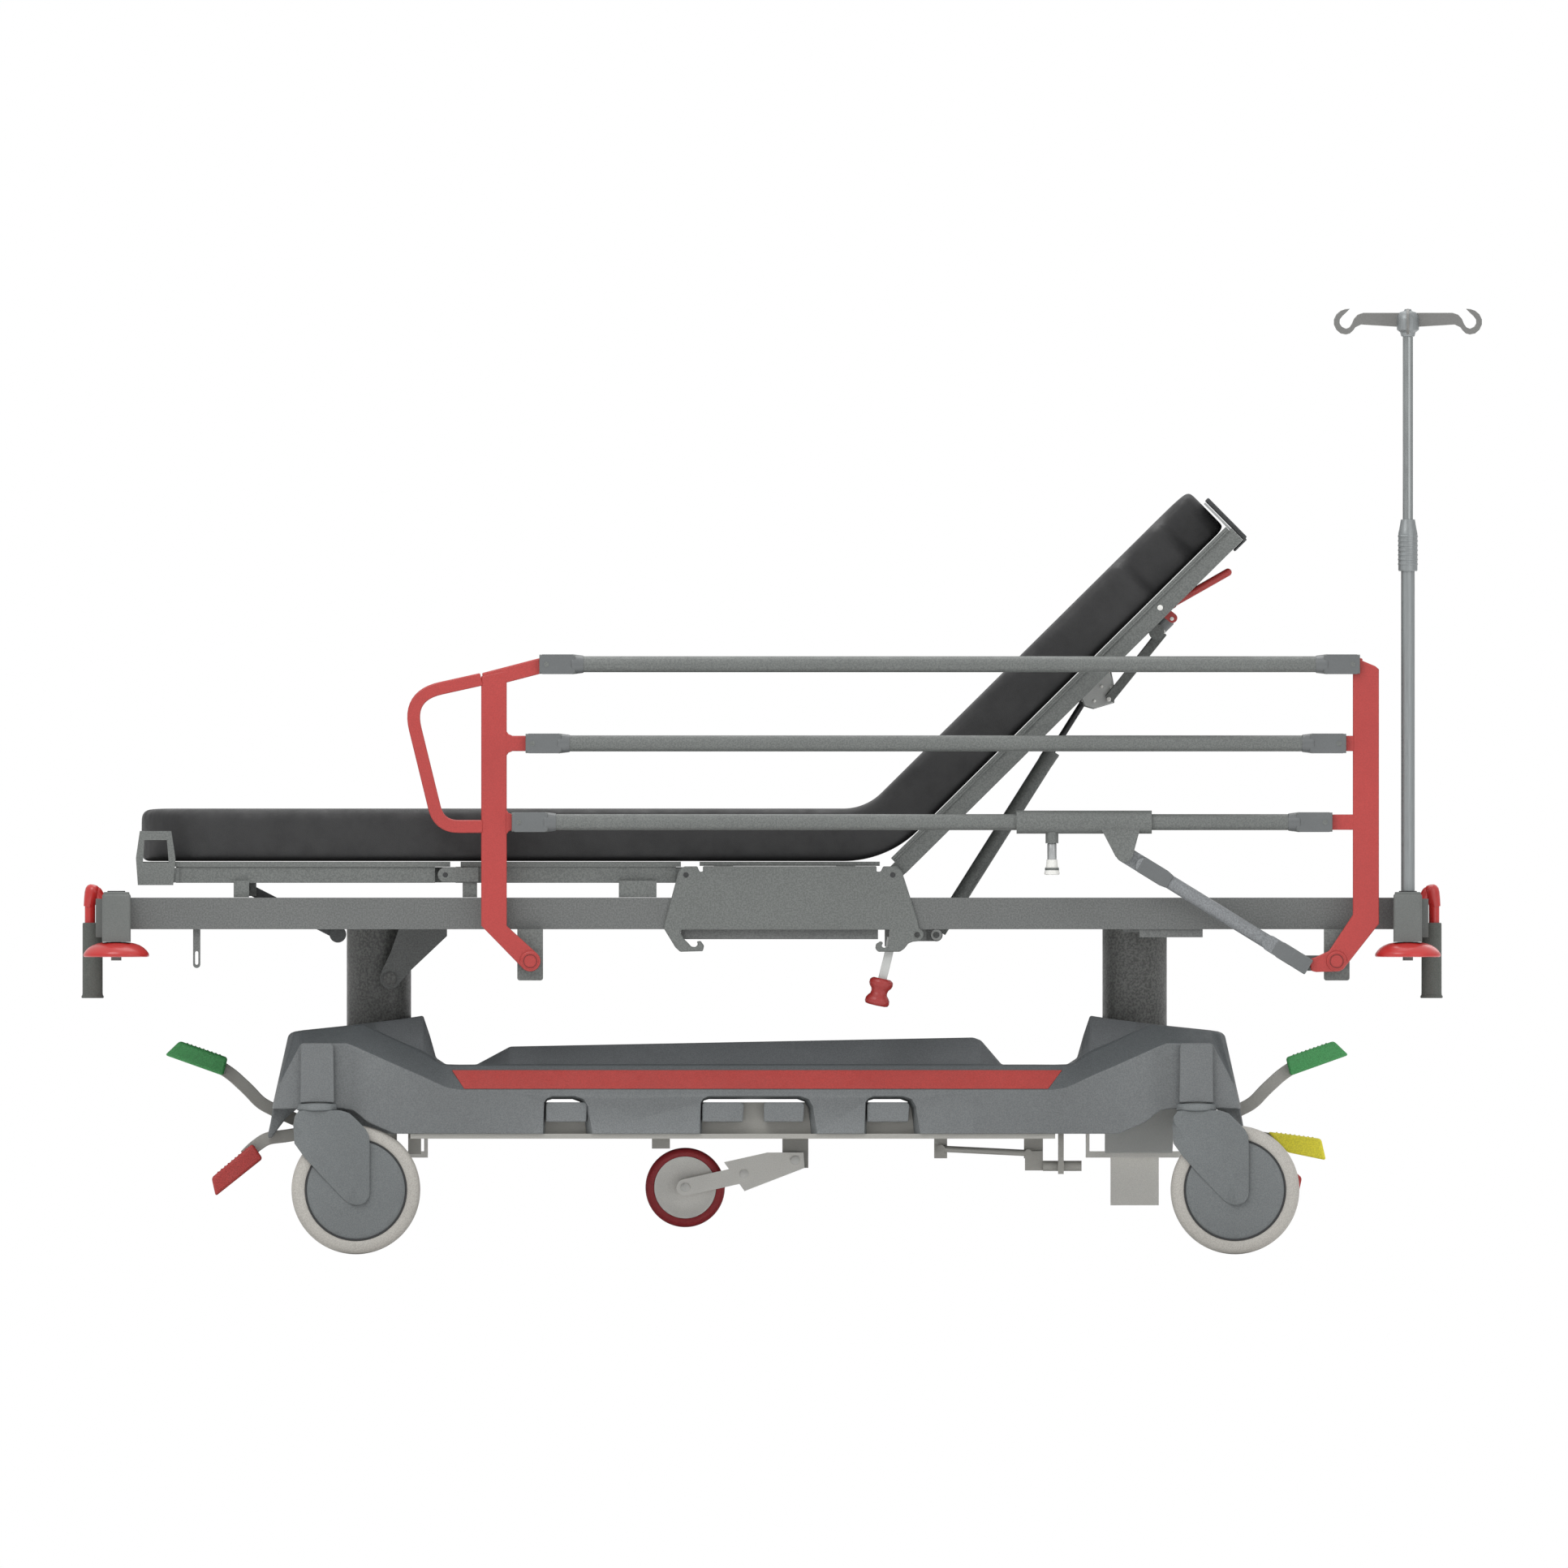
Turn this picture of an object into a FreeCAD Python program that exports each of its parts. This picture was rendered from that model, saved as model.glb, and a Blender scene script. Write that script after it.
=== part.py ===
"""Hospital stretcher trolley: hydraulic base on four castors, tilting frame, sprung backrest,
knee break, folding siderails, push handles and infusion pole.  Millimetres, +Z up, +X to the head."""
import FreeCAD, Part
import math
import os

os.makedirs("parts", exist_ok=True)
V = FreeCAD.Vector

# ---- driving dimensions ------------------------------------------------------------------------
SHIFT_X = -30.35         # from the middle of the frame to the middle of the bounding box
SHIFT_Y = 32.3
FRAME_OUT = 330.0        # outer face of the side tubes
FRAME_IN = 300.0
FRAME_LOW = 504.5
FRAME_HIGH = 553.6
FRAME_END = 980.0
BLOCK_END = 1024.4
CORNER_Y = 349.0         # bumper and pole sockets
POLE_Y = -350.0
CORNER_X = 1002.5
WHEEL_R = 100.0
WHEEL_W = 32.0
SWIVEL_FOOT = -690.5
SWIVEL_HEAD = 674.1
SWIVEL_Y = 290.0
TRAIL = 60.0
COVER_Y = 310.0
COL_FOOT = -594.7
COL_HEAD = 578.3
COL_R = 50.0
PISTON_R = 28.0
TILT_X = -577.3
TILT_Z = 428.0
HEAD_PIVOT_Z = 515.0
BACK_X = 203.0
BACK_Z = 589.0
BACK_DEG = 44.7
THIGH_X = -117.8
KNEE_X = -491.7
DECK_Z = 589.0
TUBE_IN = 290.0          # deck side tubes
TUBE_OUT = 315.0
PAD_LOW = 611.0
PAD_HIGH = 691.0
PAD_Y = 310.0
RAIL_Y = 370.0           # plane of the siderails
RAIL_PIN_FOOT = -360.0
RAIL_PIN_HEAD = 892.0
RAIL_PIN_Z = 455.0
RAIL_PIVOTS = {"low": (-17.6, 215.8), "mid": (3.8, 338.0), "top": (25.2, 460.9)}
STRUT_FOOT = (838.0, 452.0)
STRUT_TOP = (562.0, 621.7)
GAS_EYE = (270.4, 495.7)
GAS_TOP = (500.2, 859.8)
FIFTH_PIVOT = (51.7, 145.9)
FIFTH_CENTRE = (-119.4, 103.7)
FIFTH_R = 61.7
HANDLE_Y = 262.0
HANDLE_Z = 535.0
FIT = 0.05               # radial running clearance


# ---- helpers -----------------------------------------------------------------------------------
def box(x0, x1, y0, y1, z0, z1):
    return Part.makeBox(x1 - x0, y1 - y0, z1 - z0, V(x0, y0, z0))


def rod(a, b, r):
    a, b = V(*a), V(*b)
    return Part.makeCylinder(r, (b - a).Length, a, b - a)


def cyl_y(x, z, r, y0, y1):
    return Part.makeCylinder(r, y1 - y0, V(x, y0, z), V(0, 1, 0))


def cyl_z(x, y, r, z0, z1):
    return Part.makeCylinder(r, z1 - z0, V(x, y, z0), V(0, 0, 1))


def cyl_x(y, z, r, x0, x1):
    return Part.makeCylinder(r, x1 - x0, V(x0, y, z), V(1, 0, 0))


def ball(x, y, z, r):
    return Part.makeSphere(r, V(x, y, z))


def prism(points, y0, y1):
    """A polygon in the XZ plane, extruded along Y."""
    loop = [V(x, y0, z) for x, z in points]
    face = Part.Face(Part.makePolygon(loop + loop[:1]))
    return face.extrude(V(0, y1 - y0, 0))


def fuse(*shapes):
    shapes = list(shapes)
    out = shapes[0]
    if len(shapes) > 1:
        out = out.multiFuse(shapes[1:])
    return out.removeSplitter()


def cut(shape, *tools):
    tool = tools[0]
    if len(tools) > 1:
        tool = tool.multiFuse(list(tools[1:]))
    return shape.cut(tool)


def flip(shape):
    """The same piece on the far side of the trolley."""
    return shape.mirror(V(0, 0, 0), V(0, 1, 0))


def both(shape):
    return Part.makeCompound([shape, flip(shape)])


def pair(shape):
    """A piece with its mirror image, as shapes to fuse."""
    return [shape, flip(shape)]


def strip(points, width, y0, y1):
    """A flat bar of constant width along a line in the XZ plane, with round ends."""
    out = []
    for (ax, az), (bx, bz) in zip(points, points[1:]):
        length = math.hypot(bx - ax, bz - az)
        nx, nz = -(bz - az) / length * width / 2, (bx - ax) / length * width / 2
        corners = [(ax + nx, az + nz), (bx + nx, bz + nz), (bx - nx, bz - nz), (ax - nx, az - nz)]
        out.append(prism(corners, y0, y1))
    for x, z in points:
        out.append(cyl_y(x, z, width / 2, y0, y1))
    return fuse(*out)


def pipe(points, r):
    """Round bar along a polyline with ball corners."""
    out = [rod(a, b, r) for a, b in zip(points, points[1:])]
    out += [ball(*p, r) for p in points]
    return fuse(*out)


def soften(shape, radius, test):
    """Rounds the edges that pass the test."""
    edges = [e for e in shape.Edges if test(e)]
    return shape.makeFillet(radius, edges) if edges else shape


def along(edge, axis):
    ends = edge.Vertexes
    if len(ends) != 2:
        return False
    d = ends[1].Point - ends[0].Point
    return d.Length > 1 and abs(d.normalize().dot(axis)) > 0.999


NODES = {}


def solid(name, shape, turned=None):
    """Keeps a node, moved to the exported frame."""
    shape = shape.copy()
    if turned:
        (x, z), degrees = turned
        shape.rotate(V(x, 0, z), V(0, 1, 0), degrees)
    shape.translate(V(SHIFT_X, SHIFT_Y, 0))
    NODES[name] = shape


# ---- base: chassis, cover, column feet ---------------------------------------------------------
def chassis():
    parts = []
    for side in (-1, 1):
        y0, y1 = sorted((side * 240.0, side * 280.0))
        rail = box(-560, 545, y0, y1, 187, 236)
        parts.append(cut(rail, box(-561, 546, y0 + 3, y1 - 3, 190, 233)))
        y0, y1 = sorted((side * 240.0, side * 305.0))
        parts.append(box(-546, 455, y0, y1, 179.4, 187))
        for swivel, x0, x1 in ((SWIVEL_FOOT, -722, -550), (SWIVEL_HEAD, 530, 706)):
            y0, y1 = sorted((side * 236.0, side * 300.0))
            parts.append(box(x0, x1, y0, y1, 228, 240))
            parts.append(cyl_z(swivel, side * SWIVEL_Y, 20, 229, 312))
    for x0, x1 in ((-688, -672), (656, 672)):
        parts.append(box(x0, x1, -222, 222, 212, 236))
        parts.append(box(x0, x1, -242, 242, 228, 236))
    for x0, x1 in ((-514, -498), (-40, 20), (484, 500)):
        parts.append(box(x0, x1, -242, 242, 204, 236))
    for x in (SWIVEL_FOOT, SWIVEL_HEAD):
        parts.append(cyl_y(x, 194.5, 9, -165, 165))
        for y in (-158, 150):
            parts.append(box(x - 14, x + 14, y, y + 8, 182, 236))
    parts.append(box(31.5, 71.8, -20, -14, 134, 200))
    parts.append(box(31.5, 71.8, 14, 20, 134, 200))
    parts.append(box(10, 75, -20, 20, 190, 200))
    parts.append(cyl_y(FIFTH_PIVOT[0], FIFTH_PIVOT[1], 6, -24, 24))
    parts += pair(box(-549.4, -529.2, 237, 243, 155.5, 200))
    body = fuse(*parts)
    holes = [cyl_z(s, t * SWIVEL_Y, 10 + FIT, 220, 320)
             for s in (SWIVEL_FOOT, SWIVEL_HEAD) for t in (-1, 1)]
    return cut(body, *holes)


def base_cover():
    top = [(-771, 180), (-765, 221), (-758.5, 260), (-748, 300), (-736, 343), (-728, 351), (-520.4, 371),
           (-517, 340), (-514, 316), (-507, 303), (-492, 294.5), (-445, 294.5), (-428, 303), (-412, 316),
           (-390, 323), (327, 337), (342, 331), (356, 308), (371, 294.5), (475, 294.5), (490, 303),
           (497, 316), (500, 340), (503, 371), (710, 351), (717.5, 343), (730, 300), (741, 260),
           (748, 221), (754, 180)]
    outer = top + [(754, 100), (-771, 100)]
    loop = [V(x, 0, z) for x, z in outer]
    face = Part.Face(Part.makePolygon(loop + loop[:1]))
    inner = face.makeOffset2D(-4.0, 2)
    skin = prism(outer, -COVER_Y, COVER_Y)
    skin = soften(skin, 10, lambda e: abs(abs(e.CenterOfMass.y) - COVER_Y) < 0.1
                  and e.CenterOfMass.z > 288 and abs(e.CenterOfMass.x + 8) < 700)
    hollow = inner.copy()
    hollow.translate(V(0, -(COVER_Y - 4.5), 0))
    hollow = hollow.extrude(V(0, 2 * (COVER_Y - 4.5), 0))
    bosses = [cyl_z(s, t * SWIVEL_Y, 27, 240.2, 326) for s in (SWIVEL_FOOT, SWIVEL_HEAD) for t in (-1, 1)]
    sockets = [cyl_z(s, t * SWIVEL_Y, 23, 200, 322) for s in (SWIVEL_FOOT, SWIVEL_HEAD) for t in (-1, 1)]
    pockets = [(-336.4, -267.1), (-93.2, 81.9), (162.5, 241.9)]
    liners = []
    recess = []
    for x0, x1 in pockets:
        liners += pair(box(x0 - 3, x1 + 3, -308, -286, 187.1, 250.5))
        recess += pair(box(x0, x1, -320, -289, 180, 247.5))
    skin = cut(skin, hollow)
    skin = fuse(skin, *bosses)
    skin = cut(skin, *sockets)
    skin = fuse(skin, *liners)
    cheeks = []
    for x0, x1 in ((-93.2, -29.0), (2.5, 66.8)):
        cheeks += pair(box(x0, x1, -304, -287, 194, 250))
    skin = fuse(cut(skin, *recess), *cheeks)
    # lower edge: level between the wheels, raised over the swept circle of each castor
    below = prism([(-900, 0), (-900, 228), (-620, 228), (-612, 204), (-578, 203), (-571, 187),
                   (555, 187), (562, 203), (596, 204), (604, 228), (900, 228), (900, 0)], -400, 400)
    skirt = fuse(box(-775, -726, -140, 140, 150, 232), box(714, 760, -140, 140, 150, 232))
    low_cut = cut(below, skirt)
    skin = cut(skin, low_cut, box(-800, 800, -400, 400, 90, 180))
    slots = [box(-790, -700, y - 12, y + 12, 170, 336) for y in (-115, 115)]
    slots += [box(700, 790, y - 12, y + 12, 170, 336) for y in (-115, 0, 115)]
    columns = [cyl_z(COL_FOOT, 0, 54, 250, 400), cyl_z(COL_HEAD + 4, 0, 54, 250, 400)]
    columns += [cyl_z(COL_HEAD - 18, 0, 54, 250, 400), box(COL_HEAD - 18, COL_HEAD + 4, -54, 54, 250, 400)]
    return cut(skin, *(slots + columns))


def column_pistons():
    parts = []
    for x in (COL_FOOT, COL_HEAD):
        parts.append(cyl_z(x, 0, PISTON_R, 150, 500))
        parts.append(box(x - 37.5, x + 37.5, -37.5, 37.5, 76, 152))
        parts.append(box(x - 76, x + 76, -60, 60, 150, 160))
        for x0 in (x - 76, x + 70):
            parts.append(box(x0, x0 + 6, -60, 60, 150, 195.9))
    feet = fuse(*parts)
    return cut(feet, cyl_y(COL_HEAD - 60, 172, 5, -70, 70))


def base_linkage():
    y = -200.0
    hangers = [box(267.1, 287.3, y - 4, y + 4, 149, 196), box(406.5, 436, y - 4, y + 4, 149, 196),
               box(459.4, 468.3, y - 30, y + 4, 124.5, 196), box(408, 436, y - 12, y - 4, 130, 160),
               box(-171, -143, y - 8, y + 8, 164, 196)]
    link = [rod((278.2, y - 8, 163.8), (413.3, y - 8, 157.1), 5), cyl_y(278.2, 163.8, 6, y - 14, y + 6),
            cyl_y(413.3, 157.1, 6, y - 14, y + 6)]
    bars = [cyl_x(y - 12, 137.2, 8, 436, 496), box(-180, 470, y - 10, y + 10, 196, 204)]
    return fuse(*(hangers + link + bars))


solid("base_frame", chassis())
solid("base_cover", base_cover())
solid("column_pistons", column_pistons())
solid("base_linkage", base_linkage())


# ---- castors -----------------------------------------------------------------------------------
def castor(swivel, y):
    ax = swivel + TRAIL
    outline = [(swivel - 33, 223.5), (swivel + 47, 223.5), (swivel + 81.4, 190.8), (swivel + 81.4, 97),
               (swivel + 78, 84), (swivel + 70, 77), (swivel + 58, 79), (swivel - 20, 155.5),
               (swivel - 37, 200.8)]
    plates = [prism(outline, y - 24, y - 19.5), prism(outline, y + 19.5, y + 24)]
    crown = box(swivel - 32, swivel + 46, y - 22, y + 22, 205, 223.5)
    axle = cyl_y(ax, WHEEL_R, 6, y - 27, y + 27)
    stem = cyl_z(swivel, y, 10, 222, 306)
    fork = fuse(*(plates + [crown, axle, stem]))
    tyre = cyl_y(ax, WHEEL_R, WHEEL_R, y - WHEEL_W / 2, y + WHEEL_W / 2)
    tyre = soften(tyre, 7, lambda e: e.Length > 500)
    hub = cyl_y(ax, WHEEL_R, 14, y - 19, y + 19)
    dish = [cyl_y(ax, WHEEL_R, 78, y - 20, y - 13), cyl_y(ax, WHEEL_R, 78, y + 13, y + 20)]
    wheel = fuse(cut(tyre, *dish), hub)
    wheel = cut(wheel, cyl_y(ax, WHEEL_R, 6 + FIT, y - 30, y + 30))
    return fork, wheel


for tag, swivel, y in (("foot_near", SWIVEL_FOOT, -SWIVEL_Y), ("foot_far", SWIVEL_FOOT, SWIVEL_Y),
                       ("head_near", SWIVEL_HEAD, -SWIVEL_Y), ("head_far", SWIVEL_HEAD, SWIVEL_Y)):
    fork, wheel = castor(swivel, y)
    solid("castor_fork_" + tag, fork)
    solid("castor_wheel_" + tag, wheel)


# ---- pedals ------------------------------------------------------------------------------------
def pedal(swivel, side, y, arm, pad):
    """side is -1 at the foot and 1 at the head; arm and pad are offsets from the shaft."""
    flat = strip([(swivel + side * x, 194.5 + z) for x, z in arm], 17, y - 4, y + 4)
    hub = cyl_y(swivel, 194.5, 16, y - 10, y + 10)
    tread = prism([(swivel + side * x, 194.5 + z) for x, z in pad], y - 28, y + 28)
    whole = fuse(flat, hub, tread)
    return cut(whole, cyl_y(swivel, 194.5, 9 + FIT, y - 40, y + 40))


GREEN_ARM = [(0, 0), (60, 26), (86, 46), (112, 68), (140, 90)]
GREEN_PAD = [(145.9, 82.4), (236.4, 114.7), (213.3, 136.7), (138.7, 110.9)]
RED_ARM = [(0, 0), (40, -12), (82, -24), (96, -28)]
RED_PAD = [(84.4, -46.1), (157.7, -104.5), (164.2, -75.6), (100.4, -22.6)]
YELLOW_ARM = [(0, 0), (60, -8), (118, -14)]
YELLOW_PAD = [(110.6, -4), (193.8, -15.1), (201.3, -48.6), (140.5, -36.1)]
solid("brake_pedal_foot", pedal(SWIVEL_FOOT, -1, -115, RED_ARM, RED_PAD))
solid("steer_pedal_foot", pedal(SWIVEL_FOOT, -1, 115, GREEN_ARM, GREEN_PAD))
solid("brake_pedal_head", pedal(SWIVEL_HEAD, 1, 115, RED_ARM, RED_PAD))
solid("steer_pedal_head", pedal(SWIVEL_HEAD, 1, -115, GREEN_ARM, GREEN_PAD))
solid("release_pedal", pedal(SWIVEL_HEAD, 1, 0, YELLOW_ARM, YELLOW_PAD))


# ---- fifth wheel -------------------------------------------------------------------------------
def fifth_wheel_arm():
    px, pz = FIFTH_PIVOT
    wx, wz = FIFTH_CENTRE
    cheek = [(-59.2, 142.9), (8.2, 158), (64.3, 158), (66, 134), (-27.2, 98)]
    plates = [prism(cheek, -28, -23.5), prism(cheek, 23.5, 28)]
    bars = pair(strip([(wx, wz), (-31.1, 123.4)], 26, 23.5, 28))
    bridge = box(-27, 0, -26, 26, 132, 142)
    axle = cyl_y(wx, wz, 5, -30, 30)
    hole = cyl_y(px, pz, 6 + FIT, -40, 40)
    return cut(fuse(*(plates + bars + [bridge, axle])), hole)


def fifth_wheel():
    wx, wz = FIFTH_CENTRE
    tyre = soften(cyl_y(wx, wz, FIFTH_R, -15, 15), 8, lambda e: e.Length > 300)
    dish = [cyl_y(wx, wz, 47, -16, -10), cyl_y(wx, wz, 47, 10, 16)]
    wheel = fuse(cut(tyre, *dish), cyl_y(wx, wz, 11, -21, 21))
    return cut(wheel, cyl_y(wx, wz, 5 + FIT, -30, 30))


solid("fifth_wheel_arm", fifth_wheel_arm())
solid("fifth_wheel", fifth_wheel())


# ---- columns -----------------------------------------------------------------------------------
def sleeve(x, pivot_x, pivot_z):
    tube = cut(cyl_z(x, 0, COL_R, 190, 530), cyl_z(x, 0, COL_R - 4, 180, 522))
    pins = pair(cyl_y(pivot_x, pivot_z, 10, 47 if pivot_x == x else 44, 84))
    return fuse(tube, *pins)


solid("column_sleeve_foot", sleeve(COL_FOOT, TILT_X, TILT_Z))
solid("column_sleeve_head", sleeve(COL_HEAD, COL_HEAD, HEAD_PIVOT_Z))


# ---- main frame --------------------------------------------------------------------------------
def main_frame():
    parts = []
    end = FRAME_END
    bore = box(-end - 1, end + 1, -FRAME_OUT + 3, -FRAME_IN - 3, FRAME_LOW + 3, FRAME_HIGH - 3)
    tube = cut(box(-end, end, -FRAME_OUT, -FRAME_IN, FRAME_LOW, FRAME_HIGH), bore)
    parts += pair(tube)
    for x0, x1, z0, z1 in ((-1020, -985, 505, 553), (985, 1020, 505, 553), (-528, -488, 506, 530),
                           (645, 685, 506, 530), (235, 255, 486, 520), (-90, -60, 506, 536)):
        parts.append(box(x0, x1, -FRAME_IN - 0.5, FRAME_IN + 0.5, z0, z1))
    bracket = prism([(-562, 510), (-489, 510), (-489, 494), (-546, 440), (-566, 417), (-588, 420),
                     (-592, 436), (-576, 470)], 72, 80)
    parts += pair(fuse(bracket, cyl_y(TILT_X, TILT_Z, 16, 72, 80)))
    parts += pair(box(560, 650, 72, 80, 500, 530))
    parts += pair(box(586, 684, 304, 326, 492, FRAME_LOW))
    parts += pair(box(-126, 180, 304, 322, 489, FRAME_LOW))
    hook = strip([(-877.6, 500), (-877.6, 450)], 11.4, 312, 318)
    hook = cut(hook, strip([(-877.6, 468), (-877.6, 452)], 5, 300, 330))
    parts += pair(fuse(hook, box(-883.3, -871.9, 312, 318, 490, FRAME_LOW + 1)))
    parts += pair(box(GAS_EYE[0] - 30, GAS_EYE[0] + 2, 14, 19, 486, 506))
    parts += pair(cyl_y(GAS_EYE[0], GAS_EYE[1], 10, 14, 19))
    parts.append(cyl_y(GAS_EYE[0], GAS_EYE[1], 5, -22, 22))
    parts.append(box(190.3, 211.7, -319.7, -308, 478, FRAME_LOW))
    parts.append(cyl_y(201, 490, 4, -326, -310))
    frame = fuse(*parts)
    bores = [cyl_y(TILT_X, TILT_Z, 10 + FIT, -90, 90), cyl_y(COL_HEAD, HEAD_PIVOT_Z, 10 + FIT, -90, 90)]
    for s in (-1, 1):
        for t in (-1, 1):
            bores.append(cyl_x(t * HANDLE_Y, HANDLE_Z, 10 + FIT, 1000 * s - 25, 1000 * s + 25))
    return cut(frame, *bores)


def corner_block(sx, sy, socket):
    x0, x1 = sorted((sx * FRAME_END, sx * BLOCK_END))
    y0, y1 = sorted((sy * 296.0, sy * 376.0))
    block = box(x0, x1, y0, y1, 484.7, 560.4)
    block = soften(block, 5, lambda e: along(e, V(0, 0, 1)) or e.CenterOfMass.z > 560)
    p0, p1 = sorted((sx * BLOCK_END, sx * (BLOCK_END + 10)))
    q0, q1 = sorted((sy * 304.0, sy * 345.0))
    arm = box(*sorted((sx * 985.0, sx * 1020.0)), *sorted((sy * 290.0, sy * 300.7)), 500, 556)
    block = fuse(block, box(p0, p1, q0, q1, 492, 552), cyl_z(sx * CORNER_X, sy * CORNER_Y, 8, 456, 486))
    deep = 62.0 if socket else 70.0
    wide = 10.65 + FIT if socket else 10.7
    hole = cyl_z(sx * CORNER_X, -sy * POLE_Y, wide, 560.4 - deep, 570)
    return cut(block, hole, arm)


def bumper(sx, sy):
    x, y = sx * CORNER_X, sy * CORNER_Y
    profile = [V(8 + FIT, 0, 461.3), V(50.5, 0, 461.3), V(51.3, 0, 463.5), V(48, 0, 471), V(40, 0, 478.5),
               V(26, 0, 483.5), V(8 + FIT, 0, 484.5)]
    face = Part.Face(Part.makePolygon(profile + profile[:1]))
    ring = face.revolve(V(0, 0, 0), V(0, 0, 1), 360)
    ring.translate(V(x, y, 0))
    return ring


def seat_side_plate():
    outline = [(-89.5, 602.8), (175.1, 602.8), (203, 603), (213, 599), (217, 589), (213, 574), (232, 532),
               (243.2, 512), (252, 500), (250, 485), (240, 481), (228, 484), (221, 489), (219, 472),
               (208, 468), (192, 474), (178, 489), (188, 504), (-120, 504), (-104, 499), (-91, 487),
               (-94, 474), (-110, 468), (-128, 472), (-140, 488), (-156.2, 507), (-133, 572), (-132, 592),
               (-127, 600), (-117.8, 603)]
    plate = prism(outline, FRAME_OUT, FRAME_OUT + 5)
    pins = [cyl_y(BACK_X, BACK_Z, 6, 297, 332), cyl_y(THIGH_X, DECK_Z, 6, 297, 332)]
    holes = [cyl_y(240.7, 495.7, 5, 320, 340), cyl_y(-110, 482, 4, 320, 340)]
    return cut(fuse(plate, *pins), *holes)


def seat_deck():
    parts = [box(-97, 182.7, -326, 326, 602.8, 609.5)]
    for x in (-60, 130):
        parts.append(box(x - 15, x + 15, -FRAME_OUT + 0.1, FRAME_OUT - 0.1, 582, 603))
    return fuse(*parts)


def rail_block(x, strut):
    base = box(x - 20, x + 20, 305, 355, 425, FRAME_LOW)
    base = soften(base, 4, lambda e: along(e, V(0, 1, 0)) and e.CenterOfMass.z < 430)
    pieces = [base, cyl_y(x, RAIL_PIN_Z, 13, 354, 365.7), cyl_y(x, RAIL_PIN_Z, 8, 354, 377),
              cyl_y(x, RAIL_PIN_Z, 12.5, 374.3, 377.5)]
    if strut:
        sx, sz = STRUT_FOOT
        pieces.append(strip([(sx, sz), (x - 10, sz)], 24, 335, 355))
        pieces += [cyl_y(sx, sz, 11, 350, 365.7), cyl_y(sx, sz, 6, 350, 377),
                   cyl_y(sx, sz, 10, 374.3, 377.5)]
    return fuse(*pieces)


solid("main_frame", main_frame())
blocks = [corner_block(sx, sy, sx > 0 > sy) for sx in (-1, 1) for sy in (-1, 1)]
solid("corner_blocks", Part.makeCompound(blocks))
solid("bumpers", Part.makeCompound([bumper(sx, sy) for sx in (-1, 1) for sy in (-1, 1)]))
solid("seat_side_plates", both(seat_side_plate()))
solid("seat_deck", seat_deck())
pivots = [rail_block(RAIL_PIN_FOOT, False), rail_block(RAIL_PIN_HEAD, True)]
solid("rail_pivot_blocks", Part.makeCompound([p for b in pivots for p in pair(b)]))


# ---- push handles ------------------------------------------------------------------------------
def push_handle():
    """The near handle at the foot end, hanging down."""
    y = -HANDLE_Y
    tube = pipe([(-1037.5, y, 420), (-1037.5, y, 560)], 14)
    hook = pipe([(-1037.5, y, 560), (-1031.5, y, 541)], 10)
    stub = cyl_x(y, HANDLE_Z, 10, -1040, -1004)
    grip = cyl_z(-1039.2, y, 15.75, 399, 514.6)
    foot = cyl_z(-1039.2, y, 17.5, 397.4, 402)
    return fuse(tube, hook, stub, grip, foot)


handle = push_handle()
handle_head = handle.mirror(V(0, 0, 0), V(1, 0, 0))
solid("push_handle_foot_near", handle)
solid("push_handle_foot_far", flip(handle))
solid("push_handle_head_near", handle_head)
solid("push_handle_head_far", flip(handle_head))


# ---- knob lever --------------------------------------------------------------------------------
def knob_lever():
    bar = strip([(201, 490), (196, 466), (186, 424)], 14, -323.9, -320)
    profile = [V(0, 0, 386), V(17, 0, 386), V(20, 0, 389), V(20, 0, 397), V(14, 0, 403), V(13.5, 0, 409),
               V(19, 0, 415), V(19.5, 0, 424), V(16, 0, 427.6), V(0, 0, 427.6)]
    face = Part.Face(Part.makePolygon(profile + profile[:1]))
    knob = face.revolve(V(0, 0, 0), V(0, 0, 1), 360)
    knob.translate(V(181.4, -322, 0))
    return cut(fuse(bar, knob), cyl_y(201, 490, 4 + FIT, -330, -310))


solid("knob_lever", knob_lever())


# ---- backrest, modelled flat and turned up about its hinge -------------------------------------
BACK = ((BACK_X, BACK_Z), -BACK_DEG)


def bu(u, w):
    return BACK_X + u, BACK_Z + w


def back_frame():
    x, z = BACK_X, BACK_Z
    side = box(x + 16, x + 752, TUBE_IN, TUBE_OUT, z - 12.5, z + 12.5)
    lug = fuse(cyl_y(x, z, 13, 308, 314), box(x, x + 22, 308, 314, z - 12, z + 12))
    parts = pair(fuse(side, lug))
    parts += pair(cyl_y(x + 586, z + 3, 4, 277, TUBE_IN + 1))
    for u0, u1, w0, w1 in ((24, 48, -12, 12), (440, 464, -12, 12), (728, 752, -12.5, 12.5)):
        parts.append(box(x + u0, x + u1, -TUBE_IN - 1, TUBE_IN + 1, z + w0, z + w1))
    parts.append(cyl_y(x + 556, z - 20, 12, -TUBE_IN + 16, TUBE_IN - 16))
    for y in (-200, 194):
        parts.append(box(x + 546, x + 566, y, y + 6, z - 22, z + 12))
    head = [bu(394, -22), bu(402, -36), bu(432, -52), bu(446, -40), bu(466, -10), bu(440, -6), bu(404, -6)]
    parts += pair(prism(head, 14, 19))
    parts.append(box(x + 430, x + 442, -19, 19, z - 46, z - 6))
    parts.append(strip([bu(430, -42), bu(548, -27)], 14, 19, 23))
    frame = fuse(*parts)
    holes = [cyl_y(x, z, 6 + FIT, -340, 340)]
    return cut(frame, *holes)


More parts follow.
